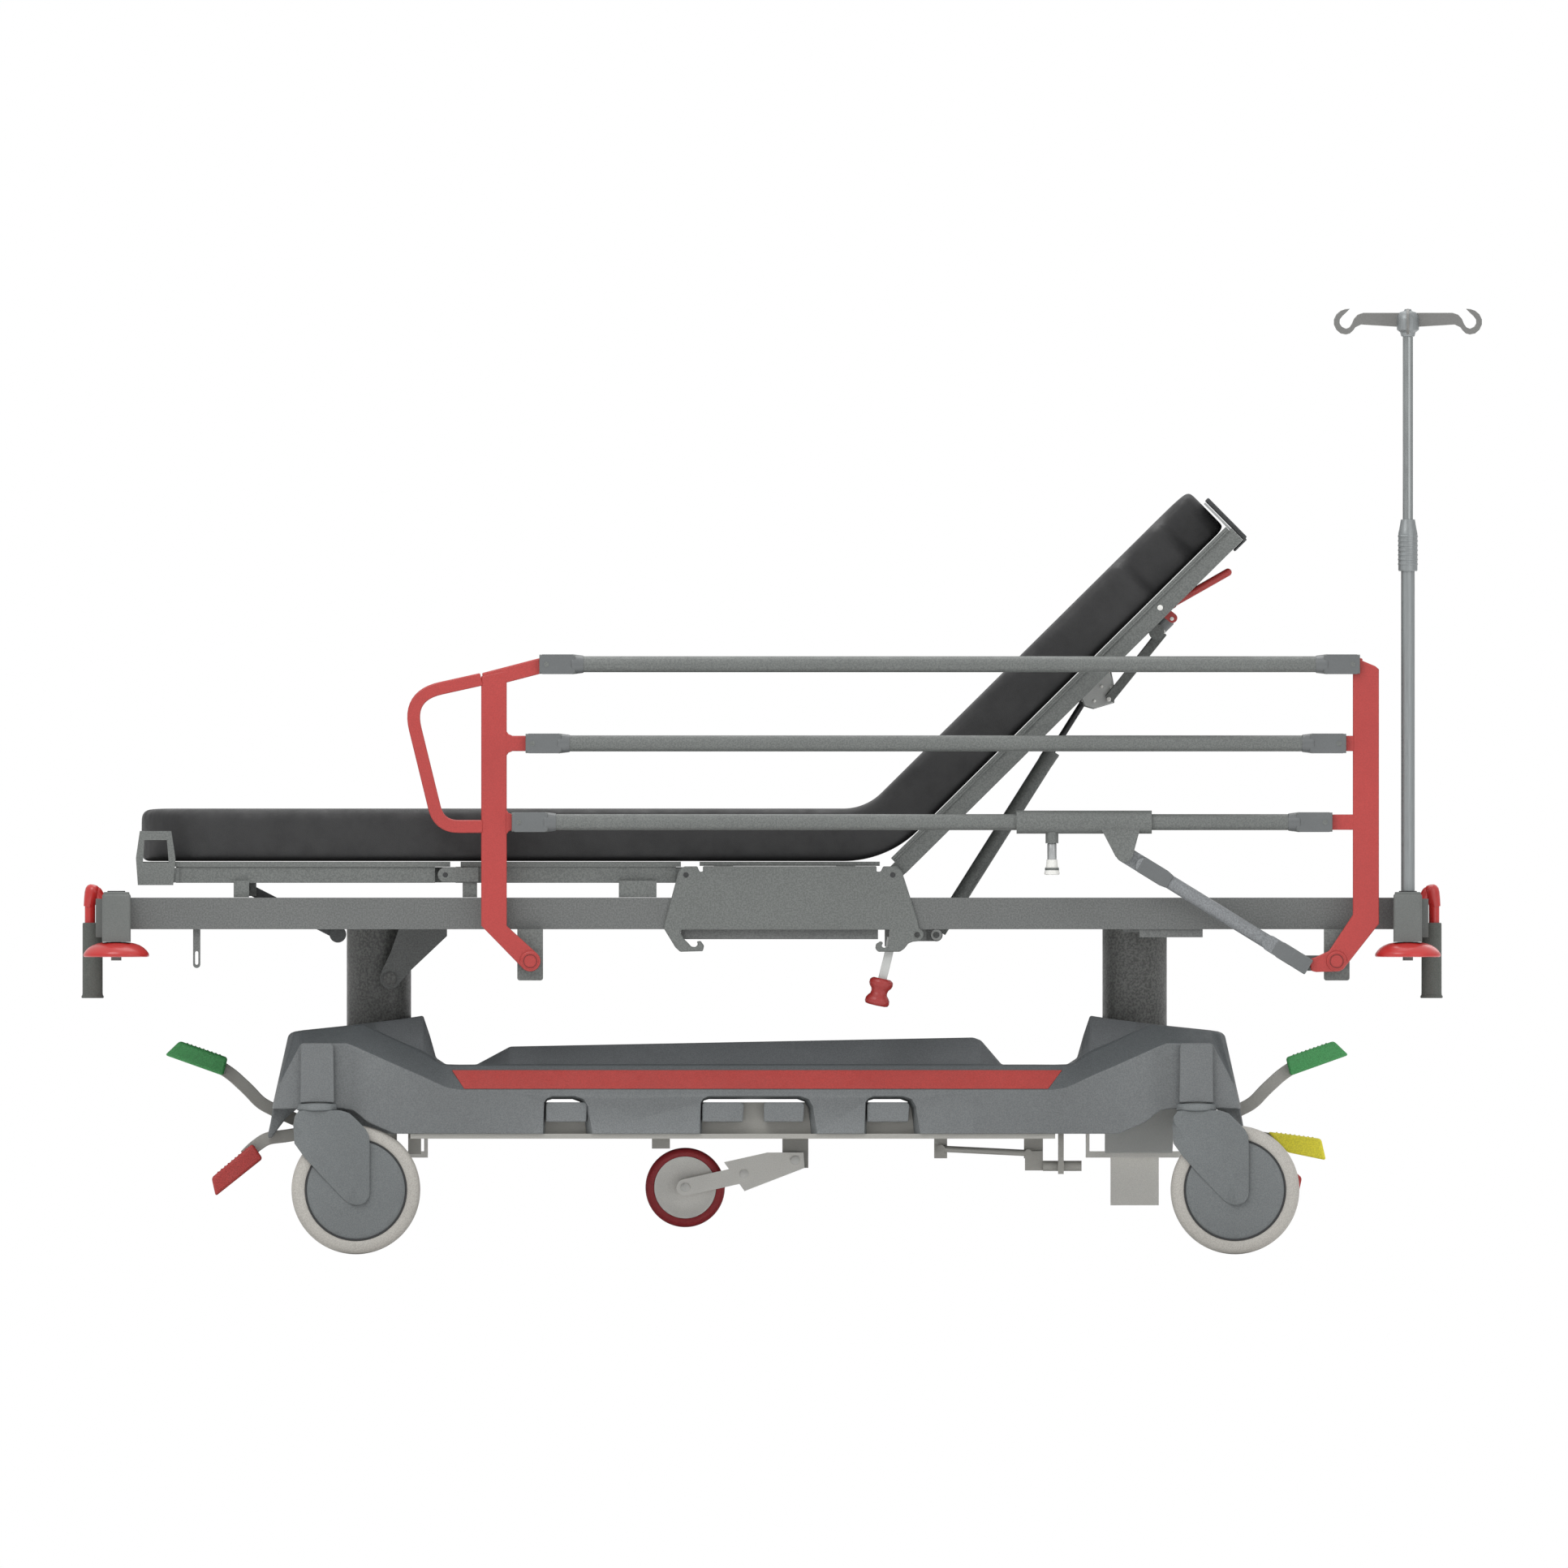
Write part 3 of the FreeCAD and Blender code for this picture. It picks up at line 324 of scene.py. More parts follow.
def weighted(ob):
    ob.modifiers.new("shading", "WEIGHTED_NORMAL").keep_sharp = True


def add_band(bm, a, b, shade=None):
    """Faces from ring a to ring b; shade gives each face its material."""
    for i in range(len(a)):
        j = (i + 1) % len(a)
        face = bm.faces.new((a[i], a[j], b[j], b[i]))
        if shade:
            face.material_index = shade[i]


def add_skin(bm, rings, shade=None):
    """Bands from ring to ring, closed at both ends."""
    for a, b in zip(rings, rings[1:]):
        add_band(bm, a, b, shade)
    bm.faces.new(rings[0][::-1])
    bm.faces.new(rings[-1])


def add_prism(bm, points, y0, y1, end=None):
    """A polygon given in the side view, from y0 to y1; end is its outline at y1 if that differs."""
    a = [bm.verts.new(pt(x, y0, z)) for x, z in points]
    b = [bm.verts.new(pt(x, y1, z)) for x, z in end or points]
    bm.faces.new(a)
    bm.faces.new(b[::-1])
    n = len(points)
    for i in range(n):
        j = (i + 1) % n
        bm.faces.new((a[i], b[i], b[j], a[j]))


def add_lathe(bm, profile, origin, axis, segments=64, close=False):
    """profile is (radius, distance along axis) pairs."""
    axis = Vector(axis).normalized()
    side = Vector(ALONG_Z) if abs(axis.z) < 0.9 else Vector((1, 0, 0))
    u = axis.cross(side).normalized()
    v = axis.cross(u)
    o = Vector(origin)
    rings = []
    for r, h in profile:
        if r < 1e-6:
            rings.append([bm.verts.new(pt(*(o + axis * h)))])
            continue
        ring = []
        for i in range(segments):
            t = 2 * math.pi * i / segments
            ring.append(bm.verts.new(pt(*(o + axis * h + (u * math.cos(t) + v * math.sin(t)) * r))))
        rings.append(ring)
    pairs = list(zip(rings, rings[1:]))
    if close:
        pairs.append((rings[-1], rings[0]))
    for a, b in pairs:
        for i in range(segments):
            j = (i + 1) % segments
            if len(a) == 1:
                bm.faces.new((a[0], b[j], b[i]))
            elif len(b) == 1:
                bm.faces.new((a[i], a[j], b[0]))
            else:
                bm.faces.new((a[i], a[j], b[j], b[i]))


def add_sweep(bm, points, radius, segments=20, flat=None):
    """A bar along a line of points with mitred bends and flat ends; flat=(w, h) makes it rectangular."""
    path = [Vector(p) for p in points]
    rings = []
    up = Vector(ALONG_Y)
    for i, p in enumerate(path):
        if i == 0:
            t = path[1] - p
        elif i == len(path) - 1:
            t = p - path[i - 1]
        else:
            t = (path[i + 1] - p).normalized() + (p - path[i - 1]).normalized()
        t.normalize()
        n = up.cross(t)
        if n.length < 0.1:
            n = Vector((1, 0, 0)).cross(t)
        n.normalize()
        b = t.cross(n)
        stretch = 1.0
        if 0 < i < len(path) - 1:
            stretch = 1.0 / max(0.5, t.dot((path[i + 1] - p).normalized()))
        ring = []
        if flat:
            w, h = flat
            for sx, sy in ((-1, -1), (1, -1), (1, 1), (-1, 1)):
                ring.append(bm.verts.new(pt(*(p + n * sx * w / 2 * stretch + b * sy * h / 2))))
        else:
            for k in range(segments):
                a = 2 * math.pi * k / segments
                out = n * math.cos(a) * radius * stretch + b * math.sin(a) * radius
                ring.append(bm.verts.new(pt(*(p + out))))
        rings.append(ring)
    add_skin(bm, rings)


def round_path(points, radius, steps=6):
    """The same line of points with its corners rounded."""
    pts = [Vector(p) for p in points]
    out = [pts[0]]
    for a, b, c in zip(pts, pts[1:], pts[2:]):
        d = min(radius, (b - a).length * 0.45, (c - b).length * 0.45)
        p, q = b + (a - b).normalized() * d, b + (c - b).normalized() * d
        for k in range(steps + 1):
            t = k / steps
            out.append(p * (1 - t) ** 2 + b * 2 * t * (1 - t) + q * t * t)
    out.append(pts[-1])
    return out


def add_box(bm, x0, x1, y0, y1, z0, z1):
    add_prism(bm, [(x0, z0), (x1, z0), (x1, z1), (x0, z1)], y0, y1)


lathe = partial(formed, add_lathe)
prism = partial(formed, add_prism)
sweep = partial(formed, add_sweep)


# ---- camera, light and floor ----
def stage():
    scene = bpy.context.scene
    cam = bpy.data.cameras.new("camera")
    cam.type = "ORTHO"
    cam.ortho_scale = VIEW_SIZE
    cam.clip_end = 50.0
    eye = bpy.data.objects.new("camera", cam)
    scene.collection.objects.link(eye)
    eye.location = (0.0037, -8.0, 0.730)
    eye.rotation_euler = (math.radians(90), 0, 0)
    scene.camera = eye
    world = bpy.data.worlds.new("studio")
    scene.world = world
    world.use_nodes = True
    tree = world.node_tree
    back = tree.nodes["Background"]
    back.inputs["Strength"].default_value = 1.0
    coords = add_node(tree, "TexCoord")
    split = add_node(tree, "SeparateXYZ")
    tree.links.new(coords.outputs["Generated"], split.inputs[0])
    height = add_node(tree, "MapRange", From_Min=-0.5, From_Max=0.9, To_Min=0.34, To_Max=1.15)
    tree.links.new(split.outputs["Z"], height.inputs["Value"])
    sheet = add_node(tree, "MapRange", From_Min=0.86, From_Max=0.96)
    tree.links.new(split.outputs["Y"], sheet.inputs["Value"])
    sky = add_node(tree, "Mix")
    sky.data_type = "RGBA"
    tree.links.new(sheet.outputs["Result"], sky.inputs["Factor"])
    sky.inputs[7].default_value = (1.0, 1.0, 1.0, 1)
    tree.links.new(height.outputs["Result"], sky.inputs[6])
    tree.links.new(sky.outputs[2], back.inputs["Color"])
    for name, place, size, power, aim in (
            ("key", (-1.6, -3.2, 3.4), 2.6, 62, (0, 0, 0.5)),
            ("fill", (2.6, -3.0, 1.6), 2.6, 16, (0, 0, 0.6)),
            ("top", (0.2, 0.6, 4.2), 3.0, 56, (0, 0, 0.5)),
            ("rim", (2.2, 3.2, 2.4), 2.0, 12, (0.3, 0, 0.8))):
        lamp = bpy.data.lights.new(name, "AREA")
        lamp.shape = "DISK"
        lamp.size = size
        lamp.energy = power
        ob = bpy.data.objects.new(name, lamp)
        scene.collection.objects.link(ob)
        ob.location = place
        ob.rotation_euler = (Vector(aim) - Vector(place)).to_track_quat("-Z", "Y").to_euler()
    bm = bmesh.new()
    bmesh.ops.create_grid(bm, x_segments=1, y_segments=1, size=30.0)
    floor = Finish("pale_floor", "fbfbfb")
    floor.vary(floor.noise(2.0, 2.0), 0.3, 0.7, 0.99, 1.0)
    floor.shader.inputs["Specular IOR Level"].default_value = 0.0
    M["floor"] = floor.done()
    ground = obj_from("floor", bm, "floor", None, smooth=None)
    ground.location.z = -0.0005
    scene.view_settings.view_transform = "Standard"


def paint_nodes():
    looks = {
        "pale_steel": "base_frame base_linkage",
        "cover_grey": "base_cover",
        "zinc": "column_pistons fifth_wheel_arm",
        "column_paint": "column_sleeve_foot column_sleeve_head",
        "frame_paint": "main_frame",
        "block_paint": "corner_blocks",
        "grey_paint": "seat_side_plates seat_deck rail_pivot_blocks back_frame back_deck"
                      " gas_spring_cylinder thigh_section leg_section"
                      " rail_top rail_mid rail_low rail_sleeve",
        "tube_grey": "iv_pole_lower",
        "chrome": "iv_pole_upper",
        "red_paint": "back_release_bar foot_upright head_upright",
        "dark_steel": "gas_spring_rod",
        "dark_paint": "leg_prop",
        "strut_paint": "rail_strut",
        "fork_plastic": "castor_fork",
        "cap_plastic": "castor_wheel",
        "light_plastic": "knob_lever",
        "red_plastic": "bumpers push_handle",
        "green_pad": "steer_pedal",
        "red_pad": "brake_pedal",
        "yellow_pad": "release_pedal",
        "vinyl": "mattress",
        "red_tyre": "fifth_wheel"}
    finish = {node: look for look, nodes in looks.items() for node in nodes.split()}
    for name, ob in NODES.items():
        key = max((k for k in finish if name.startswith(k)), key=len)
        if not ob.material_slots:
            ob.data.materials.append(M[finish[key]])
        for s in ob.material_slots:
            s.link = "OBJECT"
            s.material = M[finish[key]]


# ---- castors ----
SWIVEL = {end + "_" + side: (x, sy * SWIVEL_Y) for end, x in (("foot", SWIVEL_FOOT), ("head", SWIVEL_HEAD))
          for side, sy in SIDES}


def mirrored(profile):
    """A half profile from the outside face to the middle, completed on the other side."""
    return profile + [(r, -h) for r, h in profile[::-1]]


def castor_wheels():
    tread = mirrored([(78, 12.5), (80, 15), (84, 16), (92, 16), (96.5, 14), (99.2, 9.5), (100, 4)])
    cap = [(0, 18.2), (10, 18.4), (30, 18.2), (58, 17.4), (72, 16.6), (75.6, 15.8), (77, 14), (77, 11)]
    for tag, (sx, sy) in SWIVEL.items():
        centre = (sx + 60, sy, AXLE_Z)
        wheel = obj_from("tyre_" + tag, lathe(tread, centre, ALONG_Y, 128, close=True), "tyre",
                "wheel_" + tag, 40)
        disc = obj_from("hub_cap_" + tag, lathe(mirrored(cap), centre, ALONG_Y, 128), "cap_plastic",
                "wheel_" + tag, 40)
        bm = bmesh.new()
        for s in (-1, 1):
            add_lathe(bm, [(76.2, 14.6), (77.2, 15.9), (78.6, 15.9), (79.4, 14.4), (78, 12)],
                      centre, (0, s, 0), 128, close=True)
        ring = obj_from("dust_ring_" + tag, bm, "dark_rubber", "wheel_" + tag, 50)
        for ob in (wheel, disc, ring):
            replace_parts(ob, "castor_wheel_" + tag)


def castor_forks():
    """Moulded fork: flat cheek, sloping facet along its trailing edge, rounded foot."""
    rim = [(-29, 222.5), (-20, 223.5), (36, 223.5), (50, 219), (64, 206), (76, 193), (80.5, 184),
            (81.4, 172), (81.4, 97), (80, 88), (75, 81), (68, 77.6), (60, 76.5), (50, 79), (42, 84.5),
            (12, 116), (-20, 150.5), (-35.5, 172), (-37.2, 200.8), (-35, 214)]
    cheek = [(-27, 220.5), (-18, 221.5), (35, 221.5), (48.5, 217.5), (62.5, 204.5), (74, 191.5), (78, 183),
             (79, 171), (79, 97.5), (77.6, 89.5), (73, 83.2), (66.8, 80), (61, 81), (58.5, 96), (56, 110),
             (50, 120.5), (22, 147), (-12, 179.5), (-29, 196), (-33.5, 204)]
    for tag, (sx, sy) in SWIVEL.items():
        bm = bmesh.new()
        for s in (-1, 1):
            back = [bm.verts.new(pt(sx + x, sy + s * 19.4, z)) for x, z in rim]
            mid = [bm.verts.new(pt(sx + x, sy + s * (19.8 if 12 < i < 19 else 24.4), z))
                   for i, (x, z) in enumerate(rim)]
            top = [bm.verts.new(pt(sx + x, sy + s * 26.0, z)) for x, z in cheek]
            add_band(bm, back, mid)
            add_band(bm, mid, top)
            bm.faces.new(back)
            bm.faces.new(top)
        add_box(bm, sx - 30, sx + 44, sy - 19.6, sy + 19.6, 206, 221.5)
        fork = obj_from("castor_yoke_" + tag, bm, "fork_plastic", "castor_" + tag, 22,
                        (bevel(1.6, 3, 24), weighted))
        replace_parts(fork, "castor_fork_" + tag)
        axle = obj_from("castor_axle_" + tag, lathe([(0, 25.2), (4.6, 25.2), (6, 24.4), (6, -24.4),
                (4.6, -25.2), (0, -25.2)], (sx + 60, sy, AXLE_Z), ALONG_Y, 32), "fork_plastic",
                "castor_" + tag, 40)
        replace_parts(axle, "castor_fork_" + tag)
        obj_from("castor_race_" + tag, lathe([(0, 222), (27, 222), (31.5, 224), (32.2, 226), (32.2, 231.5),
                (30.5, 233.5), (20, 235), (0, 235)], (sx, sy, 0), ALONG_Z, 64), "fork_plastic", "base",
                40)


def fifth_wheel():
    centre = (-119.4, 0, 103.7)
    tyre = obj_from("fifth_wheel_tyre", lathe(mirrored([(47.5, 9), (49, 13.5), (53, 15), (57.5, 14),
            (60.5, 10.5), (61.7, 5)]), centre, ALONG_Y, 96, close=True), "red_tyre", "fifth_wheel",
            40)
    hub = obj_from("fifth_wheel_hub", lathe(mirrored([(5.1, 20.5), (10, 20.5), (11, 19), (12.5, 11.5),
            (20, 9.5), (38, 9), (43, 11.5), (48, 12)]), centre, ALONG_Y, 96, close=True), "zinc",
            "fifth_wheel", 40)
    for ob in (tyre, hub):
        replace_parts(ob, "fifth_wheel")
    bm = bmesh.new()
    for x, z in ((-119.4, 103.7), (-28.0, 124.5), (51.7, 145.9)):
        for s in (-1, 1):
            add_lathe(bm, [(7.2, 28), (7.2, 30.5), (5.6, 31.4), (0, 31.6)], (x, 0, z), (0, s, 0), 32)
    obj_from("fifth_wheel_rivets", bm, "white_plastic", "fifth_wheel_arm", 40)


# ---- pedals ----
GREEN_ARM = [(0, 0), (60, 26), (88, 40), (106, 60), (132, 84), (150, 96)]
GREEN_PAD = [(145.9, 82.4), (236.4, 114.7), (213.3, 136.7), (138.7, 110.9)]
RED_ARM = [(0, 0), (40, -10), (78, -14), (98, -28), (112, -42)]
RED_PAD = [(84.4, -46.1), (157.7, -104.5), (164.2, -75.6), (100.4, -22.6)]
YELLOW_ARM = [(0, 0), (60, -8), (100, -14), (130, -18)]
YELLOW_PAD = [(110.6, -4), (193.8, -15.1), (201.3, -48.6), (140.5, -36.1)]


def pedal(node, swivel, side, y, arm, pad, colour):
    path = round_path([(swivel + side * x, y, PEDAL_Z + z) for x, z in arm], 26)
    bm = bmesh.new()
    add_sweep(bm, path, 0, flat=(20, 9))
    add_lathe(bm, [(9.2, 10), (14, 10), (16, 8.5), (16, -8.5), (14, -10), (9.2, -10)], (swivel, y, PEDAL_Z),
              ALONG_Y, 40, close=True)
    lever = obj_from(node + "_arm", bm, "pale_steel", node, 35, (bevel(1.2, 2),))
    # the tread is a softened block with ribs across its upper face
    quad = [(swivel + side * x, PEDAL_Z + z) for x, z in pad]
    tread = obj_from(node + "_tread", prism(quad, y - 28, y + 28), colour, node, 35,
            (bevel(4.5, 4), weighted))
    (ax, az), (bx, bz), (cx, cz), (dx, dz) = quad
    high = ((dx, dz), (cx, cz)) if (dz + cz) > (az + bz) else ((ax, az), (bx, bz))
    other = ((ax, az), (bx, bz)) if high[0] == (dx, dz) else ((dx, dz), (cx, cz))
    bm = bmesh.new()
    for k in range(1, 10):
        t = 0.08 + 0.84 * k / 10
        x = high[0][0] + (high[1][0] - high[0][0]) * t
        z = high[0][1] + (high[1][1] - high[0][1]) * t
        ox = other[0][0] + (other[1][0] - other[0][0]) * t
        oz = other[0][1] + (other[1][1] - other[0][1]) * t
        d = math.hypot(x - ox, z - oz)
        nx, nz = (x - ox) / d, (z - oz) / d
        tx, tz = nz, -nx
        prof = [(x - tx * 2.0 - nx, z - tz * 2.0 - nz), (x - tx * 1.1 + nx * 0.9, z - tz * 1.1 + nz * 0.9),
                (x + tx * 1.1 + nx * 0.9, z + tz * 1.1 + nz * 0.9), (x + tx * 2.0 - nx, z + tz * 2.0 - nz)]
        add_prism(bm, prof, y - 22, y + 22)
    ribs = obj_from(node + "_ribs", bm, colour, node, 35)
    for ob in (lever, tread, ribs):
        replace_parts(ob, node)


def pedals():
    foot, head = SWIVEL_FOOT, SWIVEL_HEAD
    pedal("brake_pedal_foot", foot, -1, -115, RED_ARM, RED_PAD, "red_pad")
    pedal("steer_pedal_foot", foot, -1, 115, GREEN_ARM, GREEN_PAD, "green_pad")
    pedal("brake_pedal_head", head, 1, 115, RED_ARM, RED_PAD, "red_pad")
    pedal("steer_pedal_head", head, 1, -115, GREEN_ARM, GREEN_PAD, "green_pad")
    pedal("release_pedal", head, 1, 0, YELLOW_ARM, YELLOW_PAD, "yellow_pad")


# ---- frame corners: bumpers, blocks, push handles ----
def corners():
    dome = [(8.2, 461.3), (48.5, 461.3), (50.6, 462.2), (51.3, 464.2), (50.4, 467.2), (47.6, 471.4),
            (43, 475.8), (37, 479.6), (30, 482.3), (22, 483.9), (14, 484.6), (8.2, 484.6)]
    bm = bmesh.new()
    for sx, sy in CORNERS:
        add_lathe(bm, dome, (sx * POST_X, sy * 349.0, 0), ALONG_Z, 96, close=True)
    domes = obj_from("corner_bumpers", bm, "red_plastic", "frame", 40)
    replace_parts(domes, "bumpers")
    for end, sx in ENDS:
        for side, sy in SIDES:
            tag = end + "_" + side
            node, body = "push_handle_" + tag, "handle_" + tag
            y = sy * 262.0
            path = [(sx * 1043.2, y, 424), (sx * 1043.2, y, 545), (sx * 1041, y, 560), (sx * 1033, y, 564),
                    (sx * 1027, y, 552), (sx * 1016, y, 537), (sx * 1004.4, y, 535)]
            bm = bmesh.new()
            add_sweep(bm, round_path(path, 11, 6), 8.2, 28)
            add_lathe(bm, [(0, 0), (6, 0.8), (9.6, 3.6), (11.4, 8), (11.6, 14), (10.4, 24), (8.4, 36),
                    (0, 37)], (sx * 1037.2, y, 574), (sx * 0.22, 0, -1), 32)
            tube = obj_from(node + "_tube", bm, "red_plastic", body, 50)
            grip = obj_from(node + "_grip", lathe([(0, 397.6), (16, 397.6), (17.3, 398.4), (17.4, 400.4),
                    (16, 402.6), (15.7, 406), (15.6, 512), (15.2, 514.2), (13.6, 514.6), (0, 514.6)],
                    (sx * 1039.2, y, 0), ALONG_Z, 48), "rubber", body, 40)
            for ob in (tube, grip):
                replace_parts(ob, node)
    # the moulded cap on each corner block, with a ring round its pole socket
    bm = bmesh.new()
    for sx, sy in CORNERS:
        x0, x1 = span(sx, 982.0, 1022.4)
        y0, y1 = span(sy, 298.0, 374.0)
        add_box(bm, x0, x1, y0, y1, 558.8, 562.4)
    caps = obj_from("corner_caps", bm, "block_paint", "frame", 35, (bevel(1.6, 3), weighted))
    socket_rings = bmesh.new()
    for sx, sy in CORNERS:
        add_lathe(socket_rings, [(10.75, 561), (13.6, 562.2), (14.2, 563.4), (13, 564.2), (11.4, 564.2),
                (10.75, 563)], (sx * POST_X, sy * 350.0, 0), ALONG_Z, 48, close=True)
    obj_from("socket_rings", socket_rings, "dark_paint", "frame", 40)
    drill(caps, [((sx * POST_X, sy * 350.0, 540), ALONG_Z, 10.75, 60) for sx, sy in CORNERS])


def drill(ob, holes):
    """Cuts round holes: (start, axis, radius, length) in millimetres."""
    carve(ob, [lathe([(0, 0), (radius, 0), (radius, length), (0, length)], start, axis, 48)
               for start, axis, radius, length in holes])


def knob_lever():
    bar = obj_from("knob_lever_bar", sweep(round_path([(201, -322, 492), (197, -322, 468), (186, -322, 424),
            (184, -322, 415)], 12), 0, flat=(13.5, 3.8)), "light_plastic", "knob_lever", 35,
            (bevel(0.9, 2),))
    bm = bmesh.new()
    axis = Vector((-0.22, 0, -1)).normalized()
    add_lathe(bm, [(0, -1), (13, -1), (16, 0.5), (18.2, 3), (18.6, 8), (17, 12), (13.6, 16), (12.6, 20),
            (13.2, 24), (16.6, 28), (18.8, 32), (19.2, 37), (17.4, 40.4), (13, 41.6), (0, 42)],
            (186.2, -322, 427), axis, 48)
    knob = obj_from("knob_lever_knob", bm, "knob_red", "knob_lever", 60)
    for ob in (bar, knob):
        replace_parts(ob, "knob_lever")


# ---- base cover ----
# Half sections along the shell: bottom edge, fold line, ridge, ledge, crest, each (x, y, z).
FOOT_RINGS = [
    [(-761, 266, 226), (-751, 270, 266), (-736, 258, 338), (-734.5, 250, 341), (-733, 200, 343)],
    [(-758, 300, 226), (-749, 301, 264), (-727, 276, 343.5), (-726, 268, 345), (-725, 205, 346)],
    [(-717, 301.5, 226), (-716, 301.5, 327), (-712, 268, 346.6), (-712, 260, 347.6), (-712, 210, 348)],
    [(-652, 301.5, 226), (-645, 301.5, 327), (-640, 262, 354), (-640, 256, 355), (-640, 215, 355.5)],
    [(-634, 304, 222.5), (-632, 304, 322), (-620, 257, 356.5), (-619, 251, 357.5), (-620, 222, 358)],
    [(-612, 310, 205), (-612, 309.5, 313), (-598, 258, 346), (-598, 252, 347), (-598, 222, 360.5)],
    [(-571, 310, 187), (-566, 310, 292.5), (-562, 263, 329), (-562, 257, 330), (-562, 216, 365)],
    [(-520, 310, 187), (-527, 310, 275.5), (-528, 270, 313.5), (-527, 262, 315), (-526, 208, 370.5)],
    [(-508, 310, 187), (-510, 310, 267.5), (-513, 273, 304), (-514, 266, 308), (-516, 206, 341)],
    [(-496, 310, 187), (-497, 310, 261.5), (-500, 277, 296.5), (-502, 270, 297.5), (-506, 204, 305)],
    [(-484, 310, 187), (-485, 310, 257), (-490, 280, 294.4), (-490, 272, 294.8), (-491, 203, 295)],
    [(-466, 310, 187), (-466, 310, 254.4), (-470, 282, 294), (-470, 272, 294.2), (-470, 203, 294.4)],
    [(-441, 310, 187), (-441, 310, 254.2), (-441, 282, 294), (-441, 272, 294.2), (-443, 206, 294.6)],
    [(-388, 310, 187), (-388, 310, 254.2), (-388, 282, 294), (-390, 264, 294.2), (-391, 222, 322.5)]]
TAIL_RINGS = [
    [(326, 310, 187), (326, 310, 254.2), (326, 282, 294), (327, 264, 294.2), (328, 222, 336.6)],
    [(334, 310, 187), (334, 310, 254.2), (334, 282, 294), (337, 265, 294.2), (340, 220, 332)],
    [(371, 310, 187), (371, 310, 254.2), (371, 282, 294), (371, 272, 294.2), (372, 206, 294.6)]]


def loft(bm, rings, shade):
    """Closed shell through half sections given on the far side and mirrored to the near side."""
    loops = []
    for ring in rings:
        half = [bm.verts.new(pt(x, y, z)) for x, y, z in ring]
        other = [bm.verts.new(pt(x, -y, z)) for x, y, z in ring]
        loops.append(half + other[::-1])
    add_skin(bm, loops, shade)


def carve(ob, tools):
    """Cuts each tool mesh out of ob and keeps the result."""
    for bm in tools:
        bmesh.ops.recalc_face_normals(bm, faces=bm.faces)
        tool = mesh_object("tool", bm)
        m = ob.modifiers.new("cut", "BOOLEAN")
        m.operation = "DIFFERENCE"
        m.solver = "EXACT"
        m.object = tool
        settle(ob)
        bpy.data.objects.remove(tool)


def settle(ob):
    """Applies every modifier on ob."""
    bpy.context.view_layer.update()
    done = bpy.data.meshes.new_from_object(ob.evaluated_get(bpy.context.evaluated_depsgraph_get()))
    ob.modifiers.clear()
    old = ob.data
    ob.data = done
    bpy.data.meshes.remove(old)


